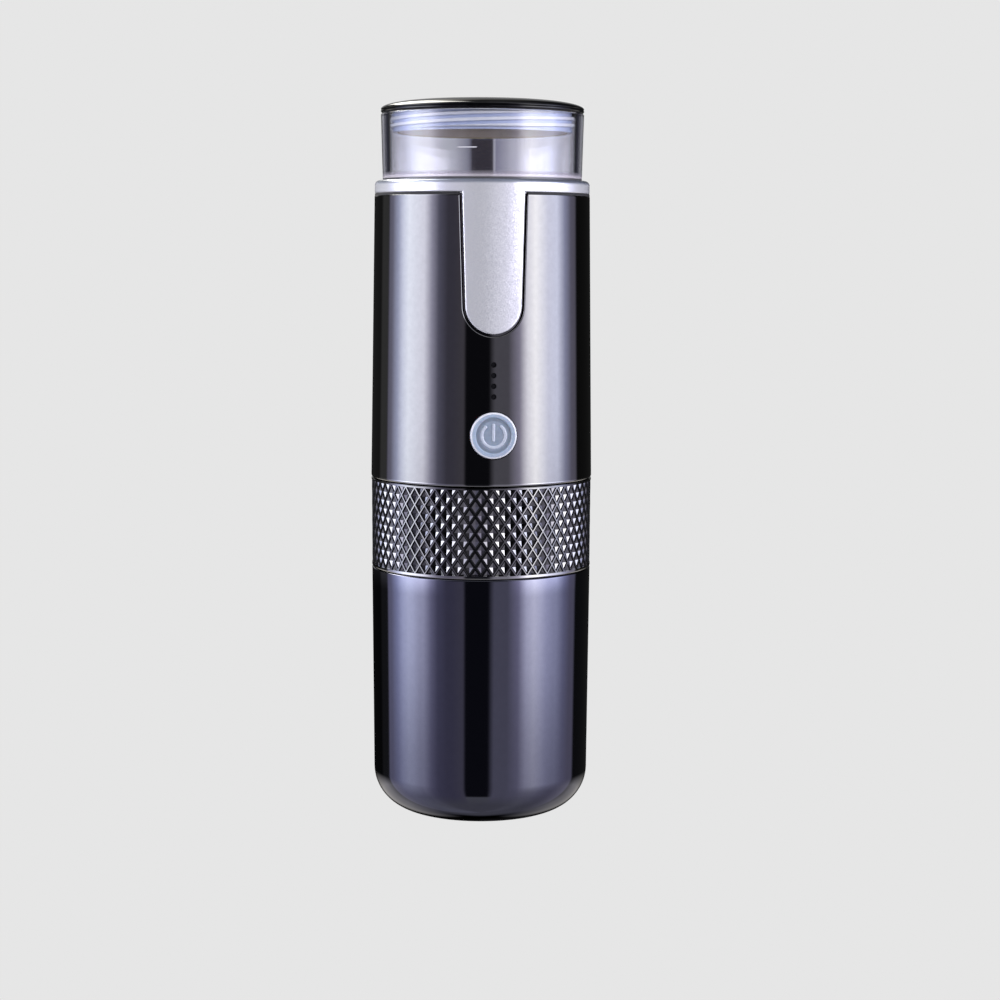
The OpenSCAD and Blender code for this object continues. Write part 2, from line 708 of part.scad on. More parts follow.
z_ring = z_plug0 + cup_seal_up;
ring_half = cup_seal_r + fit;
module head_frame() color(inner_black) revolve([
  [frame_hole_r, z_frame0],
  [plug_r - plug_wall, z_frame0],
  [plug_r - plug_wall, z_plug0],
  [plug_r - plug_edge, z_plug0],
  [plug_r, z_plug0 + plug_edge],
  [plug_r, z_ring - ring_half],
  [plug_r - cup_seal_groove, z_ring - ring_half],
  [plug_r - cup_seal_groove, z_ring + ring_half],
  [plug_r, z_ring + ring_half],
  [plug_r, z_frame0],
  [frame_flange_r, z_frame0],
  [frame_flange_r, z_fflange1],
  [frame_r, z_fflange1],
  [frame_r, z_cflange0],
  [frame_r - frame_wall, z_cflange0],
  [frame_r - frame_wall, z_cham0],
  [frame_hole_r, z_cham0]]);

module cup_seal() color(rubber) sealing_ring(plug_r - cup_seal_groove + cup_seal_r, cup_seal_r, z_ring);

module brew_chamber() color(inner_black) revolve([
  [spigot_r + shaft_gap, z_outlet0],
  [outlet_boss_r, z_outlet0],
  [outlet_boss_r, z_cham0],
  [well_r + chamber_wall, z_cham0],
  [well_r + chamber_wall, z_cflange0],
  [frame_r - fit, z_cflange0],
  [frame_r - fit, z_cflange1],
  [neck_r, z_cflange1],
  [neck_r, z_neck1],
  [seat_r, z_neck1],
  [seat_r, z_seat],
  [well_r, z_seat],
  [well_r, z_well],
  [outlet_bore_r, z_well - chamber_fall],
  [outlet_bore_r, z_outlet0 + spout_spigot],
  [spigot_r + shaft_gap, z_outlet0 + spout_spigot]]);

module outlet_spout() color(rubber) revolve([
  [outlet_bore_r, z_spout0],
  [spout_r - spigot_wall, z_spout0],
  [spout_r, z_outlet0 - spout_flange_t - spigot_wall],
  [spout_r, z_outlet0 - spout_flange_t],
  [outlet_boss_r, z_outlet0 - spout_flange_t],
  [outlet_boss_r, z_outlet0],
  [spigot_r, z_outlet0],
  [spigot_r, z_outlet0 + spout_spigot - fit],
  [outlet_bore_r, z_outlet0 + spout_spigot - fit]]);

module coffee_basket() color(inner_black) revolve([
  [basket_low_r - basket_wall - basket_ledge, z_basket0],
  [basket_low_r - basket_lip, z_basket0],
  [basket_low_r, z_basket0 + basket_lip],
  [basket_top_r, z_seat],
  [basket_flange_r, z_seat],
  [basket_flange_r, z_bflange1],
  [basket_top_r - basket_wall, z_bflange1],
  [basket_low_r - basket_wall, z_filter0],
  [basket_low_r - basket_wall - basket_ledge, z_filter0]]);

module basket_filter() color(steel) difference() {
  translate([0, 0, z_filter0]) cylinder(r = basket_low_r - basket_wall - fit, h = filter_t);
  hole_rings(filter_rings, filter_pitch, filter_hole_r, z_filter0 - over, filter_t + 2 * over);
}

module group_gasket() color(rubber) translate([0, 0, z_bflange1]) tube(basket_flange_r, gasket_in_r, gasket_t);

// Tongue outline seen from the front: x across, y upwards
z_tongue_end = z_led0 + (led_count - 1) * led_pitch + tongue_clear + tongue_end_r;
z_tongue1 = z_shell1 + collar_line + collar_edge + over;
module tongue_outline(grow) {
  polygon([
    [-tongue_top_w / 2 - grow, z_tongue1],
    [tongue_top_w / 2 + grow, z_tongue1],
    [tongue_end_r + grow, z_tongue_end],
    [-tongue_end_r - grow, z_tongue_end]]);
  translate([0, z_tongue_end]) circle(r = tongue_end_r + grow);
}
// Layer of the shell's wall between two depths below its surface
z_tongue0 = z_tongue_end - tongue_end_r - 2 * over;
module skin(deep, shallow) revolve([
  [shell_r(z_tongue0) - deep, z_tongue0],
  [shell_r(z_tongue0) - shallow, z_tongue0],
  [shell_r(z_tongue1) - shallow, z_tongue1],
  [shell_r(z_tongue1) - deep, z_tongue1]]);
module tongue_prism(grow) at_front(0) linear_extrude(height = shell_low_r + over) tongue_outline(grow);

module body_shell() color(gunmetal) difference() {
  revolve(concat(
    arc(shell_low_r - shell_edge_r, z_shell0 + shell_edge_r, shell_edge_r, -90, 0, arc_steps),
    arc(shell_top_r - shell_edge_r, z_shell1 - shell_edge_r, shell_edge_r, 0, 90, arc_steps),
    [[shell_top_r - shell_wall, z_shell1],
     [shell_r(z_socketf1) - shell_wall, z_socketf1],
     [socket_flange_r + fit, z_socketf1],
     [socket_flange_r + fit, z_shell0]]));
  intersection() {
    skin(tongue_t + fit, -over);
    tongue_prism(tongue_gap);
  }
  at_front(z_button) cylinder(r = button_r + button_gap, h = shell_low_r + over);
  for (i = [0 : led_count - 1])
    at_front(z_led0 + i * led_pitch) cylinder(r = led_hole_r, h = shell_low_r + over, $fn = 32);
  at_back(z_usb) linear_extrude(height = shell_low_r + over) slot(usb_w + 2 * usb_gap, usb_h + 2 * usb_gap);
}

module silver_collar() color(silver) union() {
  revolve(concat(
    [[ledge_r, z_shell1 - collar_spigot_h],
     [collar_spigot_r, z_shell1 - collar_spigot_h],
     [collar_spigot_r, z_shell1],
     [collar_r - collar_groove, z_shell1],
     [collar_r - collar_groove, z_shell1 + collar_line]],
    arc(collar_r - collar_edge, z_shell1 + collar_line + collar_edge, collar_edge, -90, 0, arc_steps),
    arc(collar_r - collar_round, z_collar1 - collar_round, collar_round, 0, 90, corner_steps),
    [[tank_socket_r, z_collar1],
     [tank_socket_r, z_ledge],
     [ledge_r, z_ledge]]));
  intersection() {
    skin(tongue_t, tongue_step + fit);
    tongue_prism(0);
  }
  intersection() {
    skin(tongue_t, fit);
    tongue_prism(-tongue_border);
  }
}

module screw_places() for (a = chassis_screw_angles) rotate([0, 0, a]) translate([chassis_screw_reach, 0, 0]) children();
module button_pocket() at_front(z_button) translate([0, 0, pocket_y]) cylinder(r = pocket_r, h = shell_low_r);

module lower_socket() color(inner_black) difference() {
  revolve([
    [socket_bore_r, z_socket0],
    [socket_flange_r, z_socket0],
    [socket_flange_r, z_socketf1],
    [socket_r, z_socketf1],
    [socket_r, z_ceil1],
    [0, z_ceil1],
    [0, z_ceil0],
    [socket_bore_r, z_ceil0]]);
  button_pocket();
  translate([-port_x, 0, z_ceil0 - over]) cylinder(r = boss_hole_r, h = ceiling_t + 2 * over);
  screw_places() translate([0, 0, z_plate1 - chassis_screw_len - fit])
    cylinder(r = chassis_screw_r + shaft_gap, h = chassis_screw_len, $fn = 32);
}

module shower_head() color(inner_black) difference() {
  union() {
    translate([0, 0, z_shower0]) cylinder(r = shower_r, h = shower_t);
    translate([0, 0, z_shower0 - screen_rim_h]) tube(screen_rim_r, screen_rim_r - screen_rim_w, screen_rim_h + fit);
    translate([0, 0, z_shower0 - screen_rim_h + screen_t + fit])
      cylinder(r = screen_boss_r, h = screen_rim_h - screen_t);
    translate([-port_x, 0, z_ceil0 - fit]) cylinder(r = boss_r, h = z_plate1 - boss_short - z_ceil0 + fit);
  }
  translate([-port_x, 0, z_shower0 - over]) cylinder(r = port_r, h = z_plate1 - z_shower0 + over);
  translate([0, 0, z_shower0 - screen_rim_h])
    cylinder(r = screen_screw_r + shaft_gap, h = screen_rim_h + screen_screw_len, $fn = 32);
}

module shower_screen() color(steel) difference() {
  translate([0, 0, z_shower0 - screen_rim_h + fit]) cylinder(r = screen_r, h = screen_t);
  hole_rings(screen_rings, screen_pitch, screen_hole_r, z_shower0 - screen_rim_h - over, screen_t + 3 * over, 1);
  translate([0, 0, z_shower0 - screen_rim_h - over]) cylinder(r = screen_screw_r + fit, h = screen_t + 3 * over, $fn = 32);
}

module screen_screw() color(steel) union() {
  translate([0, 0, z_shower0 - screen_rim_h + fit - screen_head_t]) cylinder(r = screen_head_r, h = screen_head_t);
  translate([0, 0, z_shower0 - screen_rim_h])
    cylinder(r = screen_screw_r, h = screen_rim_h + screen_screw_len - fit, $fn = 32);
}

module outlet_seal() color(rubber) translate([-port_x, 0, 0])
  sealing_ring(outlet_seal_ring_r, outlet_seal_r, z_plate1 - boss_short + outlet_seal_r);

module chassis() color(inner_black) difference() {
  union() {
    translate([0, 0, z_ceil1]) cylinder(r = chassis_r, h = chassis_t);
    for (a = post_angles) rotate([0, 0, a]) translate([post_reach, 0, z_plate1 - fit])
      cylinder(r = post_r, h = z_deck0 - z_plate1 + 2 * fit);
    translate([0, 0, z_deck0]) tube(deck_r, deck_in_r, deck_t);
    for (side = [-1, 1]) translate([side * usb_stand_x, usb_stand_y, z_plate1 - fit])
      cylinder(r = usb_stand_r, h = usb_stand_h + fit);
  }
  translate([-notch_w / 2, -chassis_r - over, z_ceil1 - over])
    cube([notch_w, chassis_r + over - notch_y, chassis_t + 2 * over]);
  translate([-port_x, 0, z_ceil1 - over]) cylinder(r = boss_hole_r, h = chassis_t + 2 * over);
  screw_places() translate([0, 0, z_ceil1 - over])
    cylinder(r = chassis_screw_r + fit, h = chassis_t + 2 * over, $fn = 32);
}

module chassis_screws() color(steel) screw_places() translate([0, 0, z_plate1]) union() {
  cylinder(r = chassis_head_r, h = chassis_head_t, $fn = 48);
  translate([0, 0, -chassis_screw_len]) cylinder(r = chassis_screw_r, h = chassis_screw_len + fit, $fn = 32);
}

// Outline of the pump seen from above, with four lugs for its screws
module lug_places() for (x = [-1, 1], y = [-1, 1]) translate([x * lug_x, y * lug_y, 0]) children();
module pump_outline() {
  for (y = [drive_y, driven_y]) translate([0, y]) circle(r = pump_r);
  square([2 * pump_r, gear_axes], center = true);
  lug_places() circle(r = lug_r, $fn = 48);
}

module pump_body() color(steel) difference() {
  union() {
    translate([0, 0, z_plate1]) linear_extrude(height = z_cav1 - z_plate1) pump_outline();
    translate([pump_r - over, 0, z_port]) rotate([0, 90, 0]) cylinder(r = nipple_r, h = nipple_len + over, $fn = 48);
  }
  for (y = [drive_y, driven_y]) translate([0, y, z_cav0]) cylinder(r = cavity_r, h = gear_w + 2 * gear_end + over);
  translate([0, drive_y, z_cav0 - pump_floor_t / 2]) cylinder(r = shaft_r + shaft_gap, h = pump_floor_t, $fn = 48);
  translate([0, driven_y, z_cav0 - pump_floor_t / 2]) cylinder(r = shaft_r + shaft_gap / 5, h = pump_floor_t, $fn = 48);
  translate([-port_x, 0, z_plate1 - over]) cylinder(r = port_r, h = z_port - z_plate1 + over, $fn = 48);
  translate([0, 0, z_port]) rotate([0, 90, 0]) cylinder(r = nipple_r - tube_wall / 2, h = pump_r + nipple_len + over, $fn = 48);
  lug_places() translate([0, 0, z_motor0 - pump_screw_len - fit])
    cylinder(r = pump_screw_r + shaft_gap, h = pump_screw_len, $fn = 32);
}

module pump_cover() color(steel) difference() {
  translate([0, 0, z_cav1]) linear_extrude(height = pump_cover_t) pump_outline();
  translate([0, drive_y, z_cav1 - over]) cylinder(r = shaft_r + shaft_gap, h = pump_cover_t + 2 * over, $fn = 48);
  translate([0, drive_y, z_motor0 - seal_h]) cylinder(r = seal_r, h = seal_h + over, $fn = 48);
  translate([0, driven_y, z_cav1 - over]) cylinder(r = shaft_r + shaft_gap / 5, h = pump_cover_t / 2 + over, $fn = 48);
  lug_places() translate([0, 0, z_cav1 - over]) cylinder(r = pump_screw_r + fit, h = pump_cover_t + 2 * over, $fn = 32);
  lug_places() translate([0, 0, z_motor0 - pump_head_t]) cylinder(r = pump_head_r + fit, h = pump_head_t + over, $fn = 32);
}

module pump_screws() color(steel) lug_places() translate([0, 0, z_motor0]) union() {
  translate([0, 0, -pump_head_t]) cylinder(r = pump_head_r, h = pump_head_t - fit, $fn = 32);
  translate([0, 0, -pump_screw_len]) cylinder(r = pump_screw_r, h = pump_screw_len - pump_head_t + fit, $fn = 32);
}

module shaft_seal() color(rubber) translate([0, drive_y, z_motor0 - seal_h])
  tube(seal_r - shaft_gap, shaft_r + shaft_gap, seal_h - fit, $fn = 48);

module driven_pin() color(steel) translate([0, driven_y, z_cav0 - pump_floor_t / 2])
  cylinder(r = shaft_r, h = z_cav1 - z_cav0 + pump_floor_t / 2 + pump_cover_t / 2 - fit, $fn = 48);

// Involute tooth: half angle of the tooth at radius r
function inv(angle) = tan(angle) * 180 / PI - angle;
function half_tooth(r) = 90 / gear_teeth - gear_play / 4 / gear_pitch_r * 180 / PI
  + inv(gear_pressure) - inv(acos(min(1, gear_base_r / r)));
function polar(r, a) = [r * cos(a), r * sin(a)];
flank_start = max(gear_base_r, gear_root_r);
flank_radii = [for (i = [0 : gear_flank_steps]) lerp(flank_start, gear_tip_r, i / gear_flank_steps)];
function tooth(a) = concat(
  [polar(gear_root_r, a - half_tooth(flank_start))],
  [for (r = flank_radii) polar(r, a - half_tooth(r))],
  [for (r = turned(flank_radii)) polar(r, a + half_tooth(r))],
  [polar(gear_root_r, a + half_tooth(flank_start))]);
module gear(phase, bore) difference() {
  linear_extrude(height = gear_w) polygon([for (i = [0 : gear_teeth - 1]) each tooth(phase + i * 360 / gear_teeth)]);
  translate([0, 0, -over]) cylinder(r = bore, h = gear_w + 2 * over, $fn = 48);
}
// A tooth of the drive gear stands in a gap of the driven gear
module drive_gear() color(brass) translate([0, drive_y, z_cav0 + gear_end]) gear(90, shaft_r + shaft_gap / 5);
module driven_gear() color(brass) translate([0, driven_y, z_cav0 + gear_end])
  gear(-90 + 180 / gear_teeth, shaft_r + shaft_gap);

z_rotor0 = z_motor0 + (motor_len - rotor_len) / 2;
module motor_can() color(steel) translate([0, drive_y, 0]) revolve([
  [shaft_r + 2 * shaft_gap, z_motor0],
  [motor_r, z_motor0],
  [motor_r, z_motor1 - motor_cap_t],
  [motor_r - motor_wall, z_motor1 - motor_cap_t],
  [motor_r - motor_wall, z_motor0 + motor_front_t],
  [shaft_r + 2 * shaft_gap, z_motor0 + motor_front_t]]);
module motor_magnets() color(inner_black) translate([0, drive_y, z_rotor0])
  tube(motor_r - motor_wall - shaft_gap, motor_r - motor_wall - magnet_t, rotor_len);
module motor_endcap() color(inner_black) translate([0, drive_y, z_motor1 - motor_cap_t]) difference() {
  cylinder(r = motor_r, h = motor_cap_t);
  translate([0, 0, -over]) cylinder(r = shaft_r + shaft_gap, h = motor_cap_t / 2 + over, $fn = 48);
}
module motor_shaft() color(steel) translate([0, drive_y, z_cav0 - pump_floor_t / 2 + fit])
  cylinder(r = shaft_r, h = z_motor1 - motor_cap_t / 2 - z_cav0 + pump_floor_t / 2 - 2 * fit, $fn = 48);
module motor_rotor() color(brass) translate([0, drive_y, z_rotor0])
  tube(motor_r - motor_wall - magnet_t - rotor_gap, shaft_r + shaft_gap / 5, rotor_len);

module cell_places() for (side = [-1, 1]) translate([side * cell_x, cell_y, 0]) children();
module battery_holder() color(inner_black) union() {
  difference() {
    union() {
      translate([0, 0, z_holder0]) linear_extrude(height = holder_floor_t) union() {
        cell_places() circle(r = holder_sleeve_r);
        translate([0, cell_y]) square([2 * cell_x, holder_sleeve_r], center = true);
      }
      cell_places() translate([0, 0, z_holder0]) cylinder(r = holder_sleeve_r, h = holder_h);
    }
    cell_places() translate([0, 0, z_holder0 + holder_floor_t]) cylinder(r = cell_r + holder_gap, h = holder_h);
  }
  for (side = [-1, 1]) translate([side * holder_leg_x, holder_leg_y, z_plate1])
    cylinder(r = holder_leg_r, h = holder_leg_h + fit, $fn = 48);
}
module battery_cells() color(cell_blue) cell_places() union() {
  translate([0, 0, z_cell0]) cylinder(r = cell_r, h = cell_len);
  translate([0, 0, z_cell0 + cell_len - fit]) cylinder(r = cell_cap_r, h = cell_cap_t + fit);
}
module cell_contacts() color(steel) union() {
  cell_places() translate([0, 0, z_cell0 - contact_t]) cylinder(r = contact_r, h = contact_t);
  translate([0, cell_y, z_cell0 + cell_len + cell_cap_t + contact_t / 2])
    cube([2 * (cell_x + contact_r), contact_r, contact_t], center = true);
}

module main_board() color(board_green) translate([-board_w / 2, -board_y, z_ceil1]) cube([board_w, board_t, board_h]);
module board_leds() color(silver) for (i = [0 : led_count - 1])
  translate([-led_w / 2, -board_y - led_t, z_led0 + i * led_pitch - led_w / 2]) cube([led_w, led_t, led_w]);
module tact_switch() color(inner_black) at_front(z_button) translate([0, 0, board_y]) union() {
  translate([-switch_w / 2, -switch_w / 2, 0]) cube([switch_w, switch_w, switch_h]);
  cylinder(r = switch_pin_r, h = switch_h + switch_pin_h, $fn = 48);
}
guide_y0 = board_y + led_t + guide_gap;
module led_lightguide() color(lamp_dark) union() {
  at_front(z_led0 + (led_count - 1) / 2 * led_pitch) translate([0, 0, guide_y0 + guide_t / 2])
    cube([guide_w, (led_count - 1) * led_pitch + 2 * guide_end, guide_t], center = true);
  for (i = [0 : led_count - 1]) at_front(z_led0 + i * led_pitch) translate([0, 0, guide_y0 + guide_t - fit])
    cylinder(r = led_hole_r - fit, h = shell_r(z_led0 + i * led_pitch) - led_recess - guide_y0 - guide_t + fit, $fn = 32);
}

module usb_board() color(board_green) translate([-usb_board_w / 2, usb_board_y0, z_usb_board1 - board_t])
  cube([usb_board_w, usb_board_y1 - usb_board_y0, board_t]);
module usb_port() color(steel) at_back(z_usb) translate([0, 0, usb_y1 - usb_depth]) union() {
  difference() {
    linear_extrude(height = usb_depth) slot(usb_w, usb_h);
    translate([0, 0, usb_back_t]) linear_extrude(height = usb_depth) slot(usb_w - 2 * usb_wall, usb_h - 2 * usb_wall);
  }
  translate([0, 0, usb_tongue_len / 2]) cube([usb_tongue_w, usb_tongue_t, usb_tongue_len], center = true);
}

module power_button() color(button_grey) at_front(z_button) revolve(concat(
  [[0, button_stem0],
   [button_stem_r, button_stem0],
   [button_stem_r, button_flange0],
   [button_r + button_flange_w, button_flange0],
   [button_r + button_flange_w, button_flange1],
   [button_r, button_flange1]],
  arc(button_r - button_round, button_face - button_round, button_round, 0, 90, arc_steps),
  [[button_r - button_rim_w, button_face],
   [button_r - button_rim_w - button_dish, button_face - button_dish],
   [0, button_face - button_dish]]));

module tube_section() difference() {
  circle(r = tube_r, $fn = 48);
  circle(r = tube_in_r, $fn = 48);
}
module inlet_tube() color(silver) union() {
  translate([pump_r + nipple_gap, 0, z_port]) rotate([0, 90, 0])
    linear_extrude(height = riser_x - tube_bend - pump_r - nipple_gap) tube_section();
  translate([riser_x - tube_bend, 0, z_port + tube_bend]) rotate([90, 0, 0]) rotate([0, 0, -90])
    rotate_extrude(angle = 90) translate([tube_bend, 0]) tube_section();
  translate([riser_x, 0, z_port + tube_bend])
    linear_extrude(height = z_tank0 - nipple_gap - z_port - tube_bend) tube_section();
}

module water_tank() color(clear_blue) difference() {
  union() {
    revolve(concat(
      [[0, z_tank0],
       [tank_neck_r, z_tank0],
       [tank_neck_r, z_step],
       [tank_low_r, z_step],
       [tank_low_r, z_collar1]],
      arc(tank_top_r - tank_edge_r, z_rim - tank_edge_r, tank_edge_r, 0, 90, arc_steps),
      [[tank_mouth_r, z_rim]],
      arc(tank_in_r - tank_corner_r, z_tfloor + tank_corner_r, tank_corner_r, 0, -90, arc_steps),
      [[0, z_tfloor]]));
    translate([riser_x, 0, z_tank0 - tank_nipple_len]) cylinder(r = nipple_r, h = tank_nipple_len + fit, $fn = 48);
  }
  translate([riser_x, 0, z_tank0 - tank_nipple_len - over])
    cylinder(r = tank_hole_r, h = tank_nipple_len + tank_floor_t + 2 * over, $fn = 48);
}
module tank_strainer() color(steel) translate([riser_x, 0, z_tfloor]) difference() {
  cylinder(r = strainer_r, h = strainer_h, $fn = 48);
  translate([0, 0, -over]) cylinder(r = strainer_r - strainer_wall, h = strainer_h - strainer_top_t + over, $fn = 48);
  hole_rings(2, strainer_pitch, strainer_hole_r, 0, strainer_h + over);
}
module tank_seal() color(rubber) translate([0, 0, z_ledge]) tube(tank_low_r, tank_neck_r + fit, tank_seal_t);

module lid_seal() color(rubber) translate([0, 0, z_rim + fit])
  tube(lid_seal_in_r + lid_seal_w, lid_seal_in_r, z_lid0 + lid_seal_groove - z_rim - fit);
// The lid's dome rises from its shadow groove in one curve
lid_dome_h = lid_h - lid_groove_up - lid_groove;
module lid_cap() color(gloss_black) difference() {
  revolve(concat(
    [[0, z_lid0],
     [tank_top_r - lid_groove, z_lid0],
     [tank_top_r, z_lid0 + lid_groove],
     [tank_top_r, z_lid0 + lid_groove_up - lid_groove],
     [tank_top_r - lid_groove, z_lid0 + lid_groove_up]],
    [for (i = [0 : dome_steps]) [tank_top_r * pow(cos(90 * i / dome_steps), 2 / lid_power),
      z_top - lid_dome_h * (1 - sin(90 * i / dome_steps))]]));
  translate([0, 0, z_lid0 - over])
    tube(lid_seal_in_r + lid_seal_w + fit, lid_seal_in_r - fit, over + lid_seal_groove);
  translate([0, 0, z_lid0 - over]) tube(skirt_r + shaft_gap, skirt_r - skirt_wall - shaft_gap, over + skirt_root);
}
module lid_skirt() color(pale_blue) translate([0, 0, z_lid0 - skirt_h])
  tube(skirt_r, skirt_r - skirt_wall, skirt_h + skirt_root);

cup_shell();
cup_liner();
base_pad();
knurled_grip();
head_frame();
brew_chamber();
outlet_spout();
cup_seal();
coffee_basket();
basket_filter();
group_gasket();
body_shell();
silver_collar();
lower_socket();
shower_head();
shower_screen();
screen_screw();
outlet_seal();
chassis();
chassis_screws();
pump_body();
pump_cover();
pump_screws();
shaft_seal();
driven_pin();
drive_gear();
driven_gear();
motor_can();
motor_magnets();
motor_endcap();
motor_shaft();
motor_rotor();
battery_holder();
battery_cells();
cell_contacts();
main_board();
board_leds();
tact_switch();
led_lightguide();
usb_board();
usb_port();
power_button();
inlet_tube();
water_tank();
tank_strainer();
tank_seal();
lid_seal();
lid_cap();
lid_skirt();
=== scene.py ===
"""Looks of the portable espresso maker: camera, studio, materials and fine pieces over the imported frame."""

import math

import bmesh
import bpy
from mathutils import Matrix, Vector


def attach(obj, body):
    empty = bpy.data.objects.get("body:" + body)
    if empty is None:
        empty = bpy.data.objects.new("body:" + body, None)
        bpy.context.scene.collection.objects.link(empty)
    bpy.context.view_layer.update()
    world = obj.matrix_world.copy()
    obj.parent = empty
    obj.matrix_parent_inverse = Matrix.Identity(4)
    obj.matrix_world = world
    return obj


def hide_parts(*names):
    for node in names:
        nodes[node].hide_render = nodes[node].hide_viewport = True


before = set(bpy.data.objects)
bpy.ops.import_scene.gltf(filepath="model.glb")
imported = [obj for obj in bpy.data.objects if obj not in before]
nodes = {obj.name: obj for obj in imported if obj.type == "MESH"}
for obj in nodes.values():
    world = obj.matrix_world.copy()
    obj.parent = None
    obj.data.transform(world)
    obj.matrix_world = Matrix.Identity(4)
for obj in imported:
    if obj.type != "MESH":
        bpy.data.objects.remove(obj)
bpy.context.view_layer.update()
scene = bpy.context.scene
scene.view_settings.view_transform = "Standard"
scene.view_settings.look = "None"

# Camera of the photograph, fitted to the seams of the object: degrees, then metres, millimetres and pixels.
CAMERA_AZIMUTH, CAMERA_TILT, CAMERA_ROLL = -6.1, 6.663, 0.2
CAMERA_PLACE = (0, -0.760, 0.197)
SENSOR, LENS = 36.0, 79.40
AXIS_OFFSET, FOCAL_LENGTH = 18.8, 2205.6
CAMERA_TURN = Matrix.Rotation(math.radians(CAMERA_AZIMUTH), 4, "Z")

MM = 0.001
QUARTER = math.pi / 2
PAPER = (0.791, 0.791, 0.791, 1.0)

# Shell of the upper body, middle of the button and columns of a smooth lathe piece, lengths in millimetres.
SHELL_FOOT, SHELL_RISE, SHELL_R, SHELL_TAPER = 116.8, 96.1, 38.0, 1.3
BUTTON_Z = 133.8
LATHE_COLS = 192


# ---------------------------------------------------------------- shader nodes
def feed(tree, socket, value):
    """Set an input socket to a number or a tuple, or link another socket to it."""
    if isinstance(value, (int, float, tuple)):
        socket.default_value = value
    else:
        tree.links.new(value, socket)


def operate(tree, kind, operation, *values):
    """Outputs of an arithmetic node that is fed with values or sockets."""
    node = tree.nodes.new(kind)
    node.operation = operation
    for socket, value in zip(node.inputs, values):
        feed(tree, socket, value)
    return node.outputs


def math_node(tree, operation, *values):
    """Arithmetic on numbers; the result's socket."""
    return operate(tree, "ShaderNodeMath", operation, *values)[0]


def vector_node(tree, operation, *values):
    """Arithmetic on vectors; a vector socket and, for lengths and products, a number socket."""
    return operate(tree, "ShaderNodeVectorMath", operation, *values)


def mix_colour(tree, kind, a, b, factor=1.0):
    """Blend of two colours or colour sockets, not clamped."""
    node = tree.nodes.new("ShaderNodeMix")
    node.data_type = "RGBA"
    node.blend_type = kind
    node.clamp_result = False
    feed(tree, node.inputs[0], factor)
    for socket, value in ((node.inputs[6], a), (node.inputs[7], b)):
        feed(tree, socket, (*value, 1.0) if isinstance(value, tuple) else value)
    return node.outputs[2]


def map_range(tree, value, low, high, to_low=0.0, to_high=1.0):
    """A number in low..high spread over another range, clamped."""
    node = tree.nodes.new("ShaderNodeMapRange")
    for name, number in (("From Min", low), ("From Max", high), ("To Min", to_low), ("To Max", to_high)):
        node.inputs[name].default_value = number
    tree.links.new(value, node.inputs["Value"])
    return node.outputs[0]


def value_ramp(tree, source, low, high, stops):
    """Colour stops over the range low..high of a number socket; a stop is (number, colour or grey)."""
    node = tree.nodes.new("ShaderNodeValToRGB")
    elements = node.color_ramp.elements
    while len(elements) < len(stops):
        elements.new(0.5)
    for element, (at, colour) in zip(elements, stops):
        element.position = (at - low) / (high - low)
        element.color = (*colour, 1.0) if isinstance(colour, tuple) else (colour, colour, colour, 1.0)
    tree.links.new(map_range(tree, source, low, high), node.inputs[0])
    return node.outputs["Color"]


def object_point(tree):
    """The shaded point in the piece's own frame, in metres."""
    return tree.nodes.new("ShaderNodeTexCoord").outputs["Object"]


def split_axes(tree, vector):
    """The three components of a vector socket."""
    node = tree.nodes.new("ShaderNodeSeparateXYZ")
    tree.links.new(vector, node.inputs[0])
    return node.outputs


def distance(tree, point, keep):
    """Distance of a point from the axis along which keep is 0."""
    return vector_node(tree, "LENGTH", vector_node(tree, "MULTIPLY", point, keep)[0])["Value"]


def blank(name, kind="ShaderNodeBsdfPrincipled"):
    """A material with one shader, its node tree and that shader."""
    material = bpy.data.materials.new(name)
    material.use_nodes = True
    tree = material.node_tree
    tree.nodes.clear()
    out = tree.nodes.new("ShaderNodeOutputMaterial")
    shader = tree.nodes.new(kind)
    tree.links.new(shader.outputs[0], out.inputs[0])
    return material, tree, shader


# ---------------------------------------------------------------- camera and studio
def add_camera():
    """The camera, with its roll and the object left of the picture's middle."""
    tilt = math.radians(CAMERA_TILT)
    pan = math.atan(AXIS_OFFSET / FOCAL_LENGTH)
    roll = math.radians(CAMERA_ROLL)
    ahead = Vector((0, math.cos(tilt), -math.sin(tilt)))
    side = Vector((1, 0, 0))
    up = Vector((0, math.sin(tilt), math.cos(tilt)))
    forward = ahead * math.cos(pan) + side * math.sin(pan)
    right = side * math.cos(pan) - ahead * math.sin(pan)
    right, up = right * math.cos(roll) + up * math.sin(roll), up * math.cos(roll) - right * math.sin(roll)
    basis = Matrix((right, up, -forward)).transposed().to_4x4()
    basis.translation = Vector(CAMERA_PLACE)
    data = bpy.data.cameras.new("camera")
    data.sensor_width = SENSOR
    data.lens = LENS
    data.clip_start = 0.01
    data.clip_end = 50
    cam = bpy.data.objects.new("camera", data)
    cam.matrix_world = CAMERA_TURN @ basis
    scene.collection.objects.link(cam)
    scene.camera = cam


